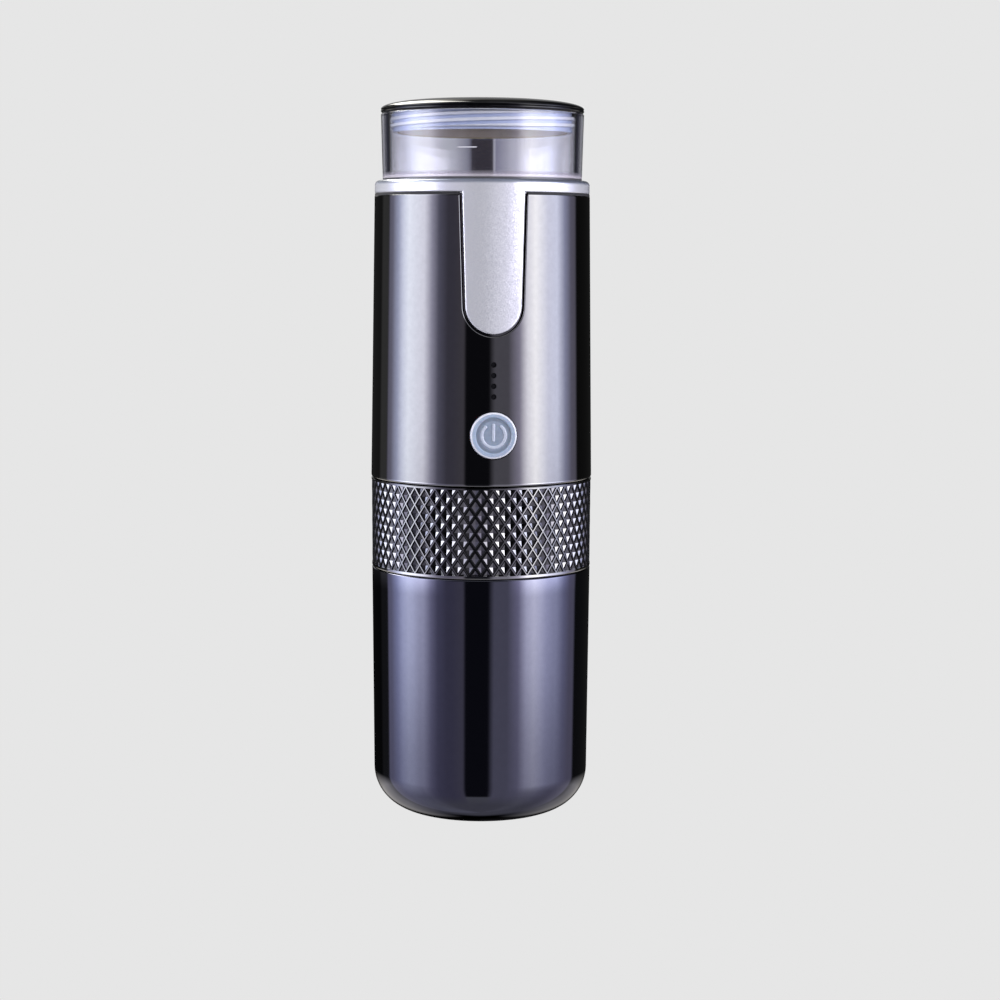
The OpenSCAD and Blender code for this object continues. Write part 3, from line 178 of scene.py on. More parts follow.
def add_studio():
    """Light by direction: two tall soft boxes with graded faces, dark cards round them, a soft top, a low ground."""
    world = bpy.data.worlds.new("studio")
    scene.world = world
    world.use_nodes = True
    tree = world.node_tree
    tree.nodes.clear()
    out = tree.nodes.new("ShaderNodeOutputWorld")
    coords = tree.nodes.new("ShaderNodeTexCoord")
    turn = tree.nodes.new("ShaderNodeVectorRotate")
    turn.rotation_type = "Z_AXIS"
    turn.inputs["Angle"].default_value = -math.radians(CAMERA_AZIMUTH)
    tree.links.new(coords.outputs["Generated"], turn.inputs["Vector"])
    axes = split_axes(tree, turn.outputs[0])
    toward = math_node(tree, "MULTIPLY", axes[1], -1.0)
    degrees = 180 / math.pi
    azimuth = math_node(tree, "MULTIPLY", math_node(tree, "ARCTAN2", axes[0], toward), degrees)
    height = math_node(tree, "MULTIPLY", math_node(tree, "ARCSINE", axes[2]), degrees)

    def across(*stops):
        """Tone by the angle round the object, 0 toward the camera and positive to the right."""
        return value_ramp(tree, azimuth, -180, 180, stops)

    def upward(*stops):
        """Tone by the angle above the horizon."""
        return value_ramp(tree, height, -90, 90, stops)

    def times(first, *more):
        """Product of tones."""
        for other in more:
            first = mix_colour(tree, "MULTIPLY", first, other)
        return first

    def without(whole, share):
        """A tone less another."""
        return mix_colour(tree, "SUBTRACT", whole, share)

    # The soft boxes by angle and by height, and where they are dimmed low down.
    boxes = across(
        (-116.5, 0.0), (-114.5, (0.050, 0.050, 0.070)), (-109, (0.075, 0.075, 0.105)), (-99, (0.27, 0.29, 0.405)),
        (-91, (0.57, 0.60, 0.73)), (-83, (0.75, 0.78, 0.88)), (-63, (0.62, 0.62, 0.71)), (-54, (0.22, 0.215, 0.28)),
        (-46, (0.04, 0.04, 0.06)), (-36, 0.0), (28, 0.0), (40, (0.14, 0.13, 0.18)), (49, (0.64, 0.63, 0.69)),
        (58, (0.86, 0.85, 0.88)), (74, (0.56, 0.57, 0.69)), (86, (0.55, 0.57, 0.71)), (98, (0.16, 0.17, 0.26)),
        (108, (0.03, 0.03, 0.05)), (120, 0.0))
    reach = upward(
        (-90, 0.03), (-63, 0.03), (-42, 0.05), (-34, 0.09), (-20, 0.17), (-14, 0.24), (-11.5, 0.45), (-9, 0.55),
        (-4, 0.95), (3, 1.04), (13, 1.25), (22, 1.25), (29, 0.30), (50, 0.20), (90, 0.15))
    outer = across((-76, 0.0), (-68, 0.18), (-48, 0.26), (-40, 0.0), (66, 0.0), (73, 0.13), (84, 0.38))
    lower = upward((-9, 1.0), (-3, 0.0))
    right = across((30, 0.0), (44, 0.6), (104, 0.5), (112, 0.0))
    right_low = upward((-30, 1.0), (-15, 0.25), (-12, 0.0))
    dimmed = without(without((1.0, 1.0, 1.0), times(outer, lower)), times(right, right_low))

    # The cards, dark in the middle and behind; low down on the left, where the cup mirrors them, their edge is sharper.
    ledge = across((-116.5, 0.0), (-115, (0.020, 0.020, 0.024)), (-100, (0.010, 0.010, 0.012)), (-85, 0.0))
    ledge_low = upward((-20, 1.0), (-9, 1.0), (-6, 0.0))
    shut = across((-117.5, 0.75), (-115, 0.0))
    open_left = without((1.0, 1.0, 1.0), times(shut, ledge_low))
    cards = across(
        (-180, 0.003), (-134, 0.005), (-129, 0.020), (-117.5, 0.023), (-115, (0.036, 0.034, 0.048)),
        (-30, (0.034, 0.032, 0.045)), (-18.6, (0.042, 0.039, 0.048)), (-16.2, (0.003, 0.003, 0.004)),
        (8, (0.003, 0.003, 0.004)), (14, (0.058, 0.056, 0.068)), (115.5, (0.054, 0.050, 0.064)), (119.5, 0.003),
        (180, 0.003))
    card_reach = upward((-62, 0.0), (-36, 1.0), (8, 1.0), (19, 0.12))
    slot = across((-18.6, 0.0), (-16.2, 0.045), (8, 0.045), (14, 0.0))
    slot_end = upward((-62, 0.0), (-39, 1.0), (-35, 0.0))

    # The ground, even straight below and dark to the rear, and the glow behind that the cup's corner mirrors.
    soil = (0.042, 0.041, 0.045)
    ground = mix_colour(tree, "MIX", upward((-80, soil), (-70, 0.0)), upward((-62, soil), (-36, 0.0)),
                        across((-160, 0.0), (-120, 1.0), (120, 1.0), (160, 0.0)))
    behind = across(
        (-168, 0.0), (-158, (0.126, 0.120, 0.112)), (-132, (0.134, 0.128, 0.119)), (-112, (0.06, 0.058, 0.055)),
        (-80, 0.0), (92, 0.0), (114, (0.045, 0.043, 0.041)), (130, (0.105, 0.100, 0.093)),
        (158, (0.105, 0.100, 0.093)), (168, 0.0))
    below = upward((-66, 0.0), (-45, 0.75), (-24, 1.0), (-15, 0.0))

    # The soft top, the rim light of the lid, and two lights that clear plastic doesn't show.
    top = upward((42, 0.0), (58, 0.06), (75, 0.09))
    front = across((-180, 0.35), (-110, 0.5), (-60, 1.0), (60, 1.0), (110, 0.5), (180, 0.35))
    rim = across((-172, 0.0), (-166, 1.0), (-112, 1.0), (-99, 0.0))
    rim_reach = upward((28.5, 0.0), (31.5, 1.0), (62, 1.0), (70, 0.0))
    rim_light = (2.3, 2.24, 2.06)
    backdrop = across((-154, 0.060), (-147, 0.0), (156, 0.0), (168, 0.02), (180, 0.060))
    risen = upward((2, 0.0), (5, 1.0), (16, 1.0), (26, 0.0))
    edge = across((-180, 0.03), (-175, 0.10), (-169, 1.0), (-162, 1.0), (-156, 0.0), (172, 0.0), (180, 0.03))
    edge_reach = upward((20, 0.0), (24, 1.0), (34, 1.0), (40, 0.0))
    edge_light = (1.40, 1.36, 1.25)

    light = times(boxes, reach, dimmed)
    for part in (times(cards, open_left, card_reach), times(ledge, ledge_low), times(slot, slot_end),
                 times(behind, below), ground, times(rim, rim_reach, rim_light), times(top, front)):
        light = mix_colour(tree, "ADD", light, part)
    path = tree.nodes.new("ShaderNodeLightPath")
    solid = math_node(tree, "SUBTRACT", 1.0, path.outputs["Is Transmission Ray"])
    for part in (times(backdrop, risen), times(edge, edge_reach, edge_light)):
        light = mix_colour(tree, "ADD", light, part, solid)
    studio = tree.nodes.new("ShaderNodeBackground")
    studio.inputs["Strength"].default_value = 5.6
    tree.links.new(light, studio.inputs["Color"])
    paper = tree.nodes.new("ShaderNodeBackground")
    paper.inputs["Color"].default_value = PAPER
    pick = tree.nodes.new("ShaderNodeMixShader")
    tree.links.new(path.outputs["Is Camera Ray"], pick.inputs[0])
    tree.links.new(studio.outputs[0], pick.inputs[1])
    tree.links.new(paper.outputs[0], pick.inputs[2])
    tree.links.new(pick.outputs[0], out.inputs[0])


def add_fill():
    """Large soft fill from the front for the matt surfaces; it isn't mirrored in the lacquer."""
    data = bpy.data.lights.new("front_fill", "AREA")
    data.shape = "RECTANGLE"
    data.size = 1.2
    data.size_y = 0.9
    data.energy = 7.0
    lamp = bpy.data.objects.new("front_fill", data)
    lamp.location = (0.10, -1.25, 0.75)
    aim = Vector((0, 0, 0.15))
    lamp.rotation_euler = (aim - lamp.location).to_track_quat("-Z", "Y").to_euler()
    lamp.visible_glossy = False
    lamp.visible_transmission = False
    scene.collection.objects.link(lamp)


def flat_piece(name, corners, material):
    """A four-cornered piece of the stage."""
    mesh = bpy.data.meshes.new(name)
    mesh.from_pydata(corners, [], [(0, 1, 2, 3)])
    mesh.materials.append(material)
    piece = bpy.data.objects.new(name, mesh)
    scene.collection.objects.link(piece)
    return piece


def add_back_card():
    """Lavender card behind the tank, seen only through clear plastic, with a dark slot in its middle."""
    half, low, high, away = 0.11, 0.19, 0.262, 0.09
    material, tree, shader = blank("back_card", "ShaderNodeEmission")
    sideways = split_axes(tree, object_point(tree))[0]
    tint = value_ramp(tree, sideways, -half, half, [
        (-0.100, (0.02, 0.02, 0.03)), (-0.074, (0.06, 0.06, 0.08)), (-0.062, (0.46, 0.46, 0.51)),
        (-0.038, (0.50, 0.50, 0.54)), (-0.024, (0.54, 0.54, 0.58)), (-0.012, (0.42, 0.43, 0.48)),
        (-0.0056, (0.19, 0.19, 0.24)), (-0.0044, (0.04, 0.036, 0.045)), (0.0044, (0.04, 0.036, 0.045)),
        (0.0047, (0.45, 0.45, 0.50)), (0.0054, (0.40, 0.40, 0.46)), (0.0058, (0.20, 0.20, 0.27)),
        (0.012, (0.41, 0.41, 0.47)), (0.024, (0.52, 0.52, 0.57)), (0.038, (0.50, 0.50, 0.54)),
        (0.062, (0.46, 0.46, 0.51)), (0.074, (0.06, 0.06, 0.08)), (0.100, (0.02, 0.02, 0.03))])
    tree.links.new(tint, shader.inputs["Color"])
    corners = [(-half, 0, low), (half, 0, low), (half, 0, high), (-half, 0, high)]
    card = flat_piece("back_card", corners, material)
    card.matrix_world = CAMERA_TURN @ Matrix.Translation((0, away, 0))
    card.visible_camera = False
    card.visible_glossy = False
    card.visible_diffuse = False
    card.visible_shadow = False


def add_floor():
    """Plain pale floor that the object stands on, kept out of the reflections."""
    half = 6.0
    material, _, shader = blank("pale_floor", "ShaderNodeEmission")
    shader.inputs["Color"].default_value = PAPER
    floor = flat_piece("floor", [(-half, -half, 0), (half, -half, 0), (half, half, 0), (-half, half, 0)], material)
    floor.location.z = -0.0002
    floor.visible_glossy = False
    floor.visible_diffuse = False
    floor.visible_transmission = False
    floor.visible_shadow = False


# ---------------------------------------------------------------- materials
def place(tree, stretch=(1, 1, 1)):
    """The shaded point for a texture, stretched."""
    mapping = tree.nodes.new("ShaderNodeMapping")
    mapping.inputs["Scale"].default_value = stretch
    tree.links.new(object_point(tree), mapping.inputs[0])
    return mapping.outputs[0]


def noise(tree, vector, scale, detail):
    """Cloudy noise between 0 and 1."""
    node = tree.nodes.new("ShaderNodeTexNoise")
    node.inputs["Scale"].default_value = scale
    node.inputs["Detail"].default_value = detail
    node.inputs["Roughness"].default_value = 0.55
    tree.links.new(vector, node.inputs["Vector"])
    return node.outputs[0]


def surface(name, low, high, rough, grain, metal=0.0, detail=4.0, stretch=(1, 1, 1),
            relief=0.0, relief_scale=0.0, relief_depth=0.0001, **sockets):
    """A procedural finish: colour drifting between two tones, roughness that varies, and a fine relief.

    Noise gathers round 0.5, so the tones and the roughness are spread over its middle part.
    """
    finer = 2.7
    material, tree, shader = blank(name)
    vector = place(tree, stretch)
    cloud = noise(tree, vector, grain, detail)
    tree.links.new(value_ramp(tree, cloud, 0.0, 1.0, [(0.32, low), (0.68, high)]), shader.inputs["Base Color"])
    fine = noise(tree, vector, grain * finer, detail=2.0)
    tree.links.new(map_range(tree, fine, 0.3, 0.7, *rough), shader.inputs["Roughness"])
    shader.inputs["Metallic"].default_value = metal
    for socket, value in sockets.items():
        shader.inputs[socket.replace("_", " ")].default_value = value
    if relief:
        node = tree.nodes.new("ShaderNodeBump")
        node.inputs["Strength"].default_value = relief
        node.inputs["Distance"].default_value = relief_depth
        tree.links.new(noise(tree, vector, relief_scale, detail=2.0), node.inputs["Height"])
        tree.links.new(node.outputs[0], shader.inputs["Normal"])
    return material


def flake_surface(name, low, high, rough, metal, flake_scale, tilt):
    """Metal-flake paint: small cells, each with its own tone and a slightly turned face."""
    material, tree, shader = blank(name)
    cells = tree.nodes.new("ShaderNodeTexVoronoi")
    cells.inputs["Scale"].default_value = flake_scale
    tree.links.new(place(tree), cells.inputs["Vector"])
    split = tree.nodes.new("ShaderNodeSeparateColor")
    tree.links.new(cells.outputs["Color"], split.inputs[0])
    tree.links.new(value_ramp(tree, split.outputs[0], 0, 1, [(0.1, low), (0.9, high)]), shader.inputs["Base Color"])
    tree.links.new(map_range(tree, split.outputs[1], 0.0, 1.0, *rough), shader.inputs["Roughness"])
    shader.inputs["Metallic"].default_value = metal
    geometry = tree.nodes.new("ShaderNodeNewGeometry")
    lean = vector_node(tree, "SUBTRACT", cells.outputs["Color"], (0.5, 0.5, 0.5))[0]
    lean = vector_node(tree, "MULTIPLY", lean, (tilt, tilt, tilt))[0]
    total = vector_node(tree, "ADD", geometry.outputs["Normal"], lean)[0]
    tree.links.new(vector_node(tree, "NORMALIZE", total)[0], shader.inputs["Normal"])
    return material


gunmetal = surface("gunmetal_lacquer", (0.161, 0.161, 0.162), (0.171, 0.171, 0.172), rough=(0.045, 0.065), grain=500,
                   metal=1.0, relief=0.015, relief_scale=60, relief_depth=0.0002)
# A bluer copy of the shell's lacquer: the blue tint is painted light, standing in for the bluer light low down.
cup_paint = surface("cup_lacquer", (0.147, 0.151, 0.196), (0.155, 0.159, 0.206), rough=(0.05, 0.07), grain=500,
                    metal=1.0, relief=0.015, relief_scale=60, relief_depth=0.0002)
grip_paint = surface("grip_lacquer", (0.232, 0.232, 0.233), (0.254, 0.254, 0.255), rough=(0.05, 0.08), grain=700,
                     metal=1.0)
# Near-black flanks of the knurl's lands: painted shade in the grooves between the diamonds.
grip_flank_painted_shade = surface("grip_flank_painted_shade", (0.004, 0.004, 0.005), (0.008, 0.008, 0.009), rough=(0.3, 0.4), grain=700,
                     Specular_IOR_Level=0.06)
silver = flake_surface("satin_silver", (0.92, 0.935, 0.98), (0.98, 0.99, 1.00), rough=(0.14, 0.20), metal=0.50,
                       flake_scale=5200, tilt=0.15)
lid_black = surface("gloss_black", (0.002, 0.002, 0.0025), (0.005, 0.005, 0.006), rough=(0.05, 0.09), grain=400,
                    relief=0.02, relief_scale=900, relief_depth=0.00005, IOR=1.5, Specular_IOR_Level=0.36)
tank_clear = surface("clear_tank", (0.93, 0.93, 0.975), (0.96, 0.96, 0.99), rough=(0.01, 0.03), grain=80,
                     relief=0.02, relief_scale=120, relief_depth=0.0002, IOR=1.5, Transmission_Weight=1.0)
plug_blue = surface("lid_plug", (0.88, 0.92, 1.0), (0.94, 0.97, 1.0), rough=(0.10, 0.18), grain=250,
                    relief=0.03, relief_scale=700, IOR=1.5, Transmission_Weight=0.25)
plug_inside = surface("lid_plug_inside", (0.76, 0.69, 0.59), (0.84, 0.77, 0.67), rough=(0.25, 0.35), grain=120,
                      relief=0.01, relief_scale=200)
plug_lip = surface("lid_plug_lip", (0.70, 0.60, 0.40), (0.84, 0.74, 0.52), rough=(0.2, 0.3), grain=300,
                   relief=0.05, relief_scale=900, Coat_Weight=0.5)
button_grey = surface("button_grey", (0.36, 0.42, 0.53), (0.42, 0.48, 0.59), rough=(0.28, 0.4), grain=900,
                      relief=0.06, relief_scale=3500, relief_depth=0.00003, Subsurface_Weight=0.15, Coat_Weight=0.3)
# Paler than the button: painted highlight on the raised power sign; the board's LEDs use it too.
sign_light = surface("button_sign", (0.50, 0.55, 0.64), (0.58, 0.63, 0.72), rough=(0.25, 0.35), grain=900,
                     relief=0.04, relief_scale=3500, relief_depth=0.00003, Coat_Weight=0.3)
# Painted highlight: the button's rounded edge in a paler tone than the button.
rim_painted_highlight = surface("button_rim", (0.74, 0.76, 0.80), (0.84, 0.86, 0.90), rough=(0.2, 0.3), grain=900,
                    relief=0.04, relief_scale=3500, relief_depth=0.00003, Coat_Weight=0.5)
smoked = surface("smoked_window", (0.003, 0.003, 0.004), (0.008, 0.008, 0.01), rough=(0.45, 0.6), grain=900,
                 Specular_IOR_Level=0.1)
inner_black = surface("inner_black", (0.014, 0.014, 0.016), (0.03, 0.03, 0.033), rough=(0.38, 0.55), grain=500,
                      relief=0.12, relief_scale=2600, relief_depth=0.00006)
liner = surface("liner", (0.45, 0.45, 0.46), (0.60, 0.60, 0.61), rough=(0.24, 0.36), grain=60, metal=1.0,
                stretch=(1, 1, 40), relief=0.05, relief_scale=900, relief_depth=0.00003)
rubber = surface("rubber", (0.012, 0.012, 0.013), (0.028, 0.027, 0.027), rough=(0.6, 0.8), grain=900,
                 relief=0.2, relief_scale=3000, relief_depth=0.00008)
silicone = surface("silicone", (0.62, 0.60, 0.57), (0.74, 0.72, 0.69), rough=(0.4, 0.55), grain=400,
                   relief=0.08, relief_scale=2000, Subsurface_Weight=0.3)
steel = surface("steel", (0.50, 0.50, 0.51), (0.66, 0.66, 0.67), rough=(0.18, 0.32), grain=120, metal=1.0,
                stretch=(1, 1, 14), relief=0.05, relief_scale=1500, relief_depth=0.00003)
pump_plastic = surface("pump_plastic", (0.10, 0.10, 0.11), (0.16, 0.16, 0.17), rough=(0.4, 0.55), grain=500,
                       relief=0.1, relief_scale=2200, relief_depth=0.00005)
brass = surface("gear_brass", (0.62, 0.43, 0.16), (0.76, 0.55, 0.24), rough=(0.2, 0.34), grain=400, metal=1.0,
                relief=0.06, relief_scale=1800, relief_depth=0.00003)
magnet = surface("magnet", (0.05, 0.05, 0.052), (0.09, 0.09, 0.092), rough=(0.45, 0.6), grain=900, metal=0.6,
                 relief=0.1, relief_scale=2600)
rotor = surface("rotor", (0.45, 0.20, 0.09), (0.66, 0.34, 0.16), rough=(0.25, 0.4), grain=60, metal=1.0,
                stretch=(1, 1, 26), relief=0.25, relief_scale=420)
sleeve = surface("cell_sleeve", (0.05, 0.16, 0.34), (0.08, 0.22, 0.44), rough=(0.25, 0.36), grain=300,
                 relief=0.05, relief_scale=700, Coat_Weight=0.4)
board = surface("board", (0.01, 0.10, 0.045), (0.02, 0.20, 0.08), rough=(0.3, 0.42), grain=700, detail=0.0,
                relief=0.1, relief_scale=900, Coat_Weight=0.5)
mark_white = surface("fill_mark", (0.60, 0.60, 0.63), (0.72, 0.72, 0.75), rough=(0.4, 0.5), grain=1200,
                     relief=0.05, relief_scale=3000)


def base_of(material):
    """Node tree, shader and present base colour of a material."""
    tree = material.node_tree
    shader = next(n for n in tree.nodes if n.type == "BSDF_PRINCIPLED")
    return tree, shader, shader.inputs["Base Color"].links[0].from_socket


def underside(material, colour, within):
    """Another tone on the faces of a piece that look down, within a radius."""
    looks_down = -0.5
    tree, shader, source = base_of(material)
    geometry = tree.nodes.new("ShaderNodeNewGeometry")
    upright = split_axes(tree, geometry.outputs["Normal"])[2]
    inside = math_node(tree, "LESS_THAN", distance(tree, object_point(tree), (1, 1, 0)), within)
    down = math_node(tree, "MULTIPLY", math_node(tree, "LESS_THAN", upright, looks_down), inside)
    tree.links.new(mix_colour(tree, "MIX", source, colour, down), shader.inputs["Base Color"])


def shade_by_radius(material, r0, r1, colour):
    """Painted shade: a darker tone toward the inner radius, between the ridges of a thread."""
    tree, shader, source = base_of(material)
    outward = map_range(tree, distance(tree, object_point(tree), (1, 1, 0)), r0, r1)
    tree.links.new(mix_colour(tree, "MIX", colour, source, outward), shader.inputs["Base Color"])


def shade_round_axis(material, centre, reach, stops):
    """Tone that changes with the distance from an axis along Y, used for painted shade in a shallow dish."""
    tree, shader, source = base_of(material)
    point = vector_node(tree, "SUBTRACT", object_point(tree), centre)[0]
    tone = value_ramp(tree, distance(tree, point, (1, 0, 1)), 0.0, reach, stops)
    tree.links.new(mix_colour(tree, "MULTIPLY", source, tone), shader.inputs["Base Color"])


def tone_by_height(material, low, high, stops):
    """Tone that changes with the height, used for painted highlights and painted shade in bands."""
    tree, shader, source = base_of(material)
    tone = value_ramp(tree, split_axes(tree, object_point(tree))[2], low, high, stops)
    tree.links.new(mix_colour(tree, "MULTIPLY", source, tone), shader.inputs["Base Color"])


def clear_by_height(material, low, high, stops):
    """Share of the light let through, changing with the height."""
    tree, shader, _ = base_of(material)
    share = value_ramp(tree, split_axes(tree, object_point(tree))[2], low, high, stops)
    tree.links.new(share, shader.inputs["Transmission Weight"])


def round_normal(material, lean):
    """Exact normal of a turned wall in place of its facets' own, so that long reflections run straight."""
    same_wall = 0.993
    tree = material.node_tree
    relief = next(n for n in tree.nodes if n.type == "BUMP")
    flat = vector_node(tree, "MULTIPLY", object_point(tree), (1, 1, 0))[0]
    leaning = vector_node(tree, "ADD", vector_node(tree, "NORMALIZE", flat)[0], (0, 0, lean))[0]
    turn = tree.nodes.new("ShaderNodeVectorTransform")
    turn.vector_type, turn.convert_from, turn.convert_to = "NORMAL", "OBJECT", "WORLD"
    tree.links.new(vector_node(tree, "NORMALIZE", leaning)[0], turn.inputs[0])
    geometry = tree.nodes.new("ShaderNodeNewGeometry")
    along = vector_node(tree, "DOT_PRODUCT", turn.outputs[0], geometry.outputs["True Normal"])["Value"]
    pick = tree.nodes.new("ShaderNodeMix")
    pick.data_type = "VECTOR"
    tree.links.new(math_node(tree, "GREATER_THAN", along, same_wall), pick.inputs[0])
    tree.links.new(geometry.outputs["Normal"], pick.inputs[4])
    tree.links.new(turn.outputs[0], pick.inputs[5])
    tree.links.new(pick.outputs[1], relief.inputs["Normal"])


round_normal(gunmetal, SHELL_TAPER / SHELL_RISE)
# Painted highlights on the lower edges of the shell and the ring, and painted shade on the collar's top: heights in
# metres.
tone_by_height(gunmetal, 0.1165, 0.1185, [(0.1170, 2.6), (0.1175, 2.6), (0.1178, 1.0)])
tone_by_height(grip_paint, 0.0855, 0.0885, [(0.0862, 2.0), (0.0868, 2.0), (0.0871, 1.0)])
# Painted shade: the collar's top is darkened where it meets the tank's foot.
tone_by_height(silver, 0.2160, 0.2180, [
    (0.2161, 1.0), (0.2166, (0.52, 0.54, 0.60)), (0.2169, (0.27, 0.29, 0.34)), (0.2173, (0.20, 0.22, 0.26))])
# Painted shade in the dish of the button: a dark ring at its edge and a darker middle, lighter outside the ring.
shade_round_axis(button_grey, (0.0, 0.0, BUTTON_Z * MM), 0.01, [
    (0.0, 0.76), (0.0046, 0.82), (0.0051, 0.58), (0.0057, 0.58), (0.0061, 1.05), (0.0070, 1.1)])
# Moulded foot of the tank: painted shade in a dark band at its bottom and a dimmer band above a pale pinkish band, and
# less clear plastic.
tone_by_height(tank_clear, 0.2170, 0.2230, [
    (0.2179, 0.12), (0.2183, 0.15), (0.2186, (1.0, 0.94, 0.95)), (0.2191, (1.0, 0.95, 0.96)),
    (0.2194, (0.70, 0.66, 0.70)), (0.2200, (0.74, 0.71, 0.74)), (0.2205, 1.0)])
clear_by_height(tank_clear, 0.2170, 0.2230, [
    (0.2179, 0.25), (0.2183, 0.40), (0.2186, 0.70), (0.2191, 0.75), (0.2205, 1.0)])
# What shows inside the plug, and painted shade in the valleys of its thread.
underside(lid_black, (0.30, 0.22, 0.13), 0.029)
shade_by_radius(plug_blue, 0.03050, 0.03125, (0.54, 0.62, 0.84))

FINISH = {
    "cup_shell": cup_paint, "cup_liner": liner, "base_pad": rubber, "knurled_grip": grip_paint,
    "head_frame": inner_black, "brew_chamber": inner_black, "outlet_spout": rubber, "cup_seal": rubber,
    "coffee_basket": inner_black, "basket_filter": steel, "group_gasket": rubber, "body_shell": gunmetal,
    "silver_collar": silver, "lower_socket": inner_black, "shower_head": inner_black, "shower_screen": steel,
    "screen_screw": steel, "outlet_seal": rubber, "chassis": inner_black, "chassis_screws": steel,
    "pump_body": pump_plastic, "pump_cover": pump_plastic, "pump_screws": steel, "shaft_seal": rubber,
    "driven_pin": steel, "drive_gear": brass, "driven_gear": brass, "motor_can": steel, "motor_magnets": magnet,
    "motor_endcap": inner_black, "motor_shaft": steel, "motor_rotor": rotor, "battery_holder": inner_black,
    "battery_cells": sleeve, "cell_contacts": steel, "main_board": board, "board_leds": sign_light,
    "tact_switch": inner_black, "led_lightguide": smoked, "usb_board": board, "usb_port": steel,
    "power_button": button_grey, "inlet_tube": silicone, "water_tank": tank_clear, "tank_strainer": steel,
    "tank_seal": rubber, "lid_seal": rubber, "lid_cap": lid_black, "lid_skirt": plug_blue,
}


def dress():
    """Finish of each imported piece; the tank throws no shadow on the plug inside it."""
    nodes["water_tank"].visible_diffuse = False
    nodes["water_tank"].visible_shadow = False
    for name, material in FINISH.items():
        mesh = nodes[name].data
        mesh.materials.clear()
        mesh.materials.append(material)


# ---------------------------------------------------------------- pieces, in millimetres
def make(name, verts, faces, material, body, smooth, stands_for=()):
    """A mesh piece riding on a body; edges sharper than smooth degrees stay sharp."""
    mesh = bpy.data.meshes.new(name)
    mesh.from_pydata([(x * MM, y * MM, z * MM) for x, y, z in verts], [], faces)
    work = bmesh.new()
    work.from_mesh(mesh)
    bmesh.ops.remove_doubles(work, verts=work.verts, dist=1e-7)
    bmesh.ops.recalc_face_normals(work, faces=work.faces)
    work.to_mesh(mesh)
    work.free()
    mesh.materials.append(material)
    mesh.shade_smooth()
    mesh.set_sharp_from_angle(angle=math.radians(smooth))
    piece = bpy.data.objects.new(name, mesh)
    scene.collection.objects.link(piece)
    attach(piece, body)
    if stands_for:
        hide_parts(*stands_for)
    return piece


def turned(r, degrees, z):
    """Point at a radius and an angle from the front, counted to the right as seen from the front."""
    a = math.radians(degrees)
    return (r * math.sin(a), -r * math.cos(a), z)


def clamp(number):
    """A number held between 0 and 1."""
    return max(0.0, min(1.0, number))


def skin(sections, points, first=0, closed=False):
    """Faces of a sweep through sections of so many points each, with end caps unless it closes on itself."""
    faces = []
    for i in range(sections if closed else sections - 1):
        here, there = first + i * points, first + (i + 1) % sections * points
        for k in range(points):
            after = (k + 1) % points
            faces.append((here + k, here + after, there + after, there + k))
    if not closed:
        last = first + (sections - 1) * points
        faces += [tuple(range(first, first + points)), tuple(range(last, last + points))]
    return faces


def knurl_ring():
    """Grip ring: a net of narrow lands that cross over diamond pits, between two plain rims."""
    z0, z1, low_rim, top_rim, edge = 85.95, 116.6, 1.1, 0.75, 0.35
    low_r, top_r, bore_r, step_r, step_z = 37.8, 37.95, 35.0, 35.9, 88.05
    cols, levels, inset, ease = 120, 10, 0.1, edge * 0.3
    # A pit goes down in loops: how far each reaches from the middle, and how deep it lies.
    land, crest, flank, depth = (1, 0), (0.895, 0.012), (0.64, 0.37), 0.81
    k0 = z0 + low_rim
    dz = (z1 - z0 - low_rim - top_rim) / levels
    k1 = k0 + levels * dz
    verts, faces, known, flanks = [], [], {}, set()

    def radius(z):
        """Outer radius of the ring at a height."""
        return low_r + (top_r - low_r) * (z - z0) / (z1 - z0)

    def corner(col, r, z):
        """Index of the vertex at a column, a radius and a height."""
        key = (round(col % cols, 4), round(r, 4), round(z, 4))
        if key not in known:
            known[key] = len(verts)
            verts.append(turned(r, col * 360 / cols, z))
        return known[key]

    def point(col, level, drop):
        """Vertex of the net at a drop below the lands."""
        z = k0 + level * dz
        return corner(col, radius(z) - (inset + drop), z)

    for level in range(levels + 1):
        for col in range(cols):
            if (col + level) % 2 == 0:
                continue
            centre = point(col, level, depth)
            loops = [[point(col - s, level, d), point(col, level + s, d) if level < levels else None,
                      point(col + s, level, d), point(col, level - s, d) if level > 0 else None]
                     for s, d in (land, crest, flank)]
            for a, b in ((0, 1), (1, 2), (2, 3), (3, 0)):
                if loops[0][a] is None or loops[0][b] is None:
                    continue
                for far, near in zip(loops, loops[1:]):
                    faces.append((far[a], far[b], near[b], near[a]))
                flanks.add(frozenset(faces[-1]))
                faces.append((loops[2][a], loops[2][b], centre))
            if level in (0, levels):
                z = k0 if level == 0 else k1
                r = radius(z)
                left, right = [loop[0] for loop in loops], [loop[2] for loop in loops]
                faces.append((corner(col - 1, r, z), *left, centre, *reversed(right),
                              corner(col + 1, r, z), corner(col, r, z)))
    section = [(radius(k1), k1), (top_r, z1 - edge), (top_r - ease, z1 - ease), (top_r - edge, z1), (bore_r, z1),
               (bore_r, step_z), (step_r, step_z), (step_r, z0), (low_r - edge, z0), (low_r - ease, z0 + ease),
               (low_r, z0 + edge), (radius(k0), k0)]
    for upper, under in zip(section, section[1:]):
        for col in range(cols):
            faces.append((corner(col, *upper), corner(col + 1, *upper), corner(col + 1, *under), corner(col, *under)))
    ring = make("grip_ring", verts, faces, grip_paint, "brew_head", smooth=14.0,
                stands_for=("knurled_grip",))
    # The steep flanks get the near-black finish, as painted shade.
    ring.data.materials.append(grip_flank_painted_shade)
    for face in ring.data.polygons:
        face.material_index = 1 if frozenset(face.vertices) in flanks else 0


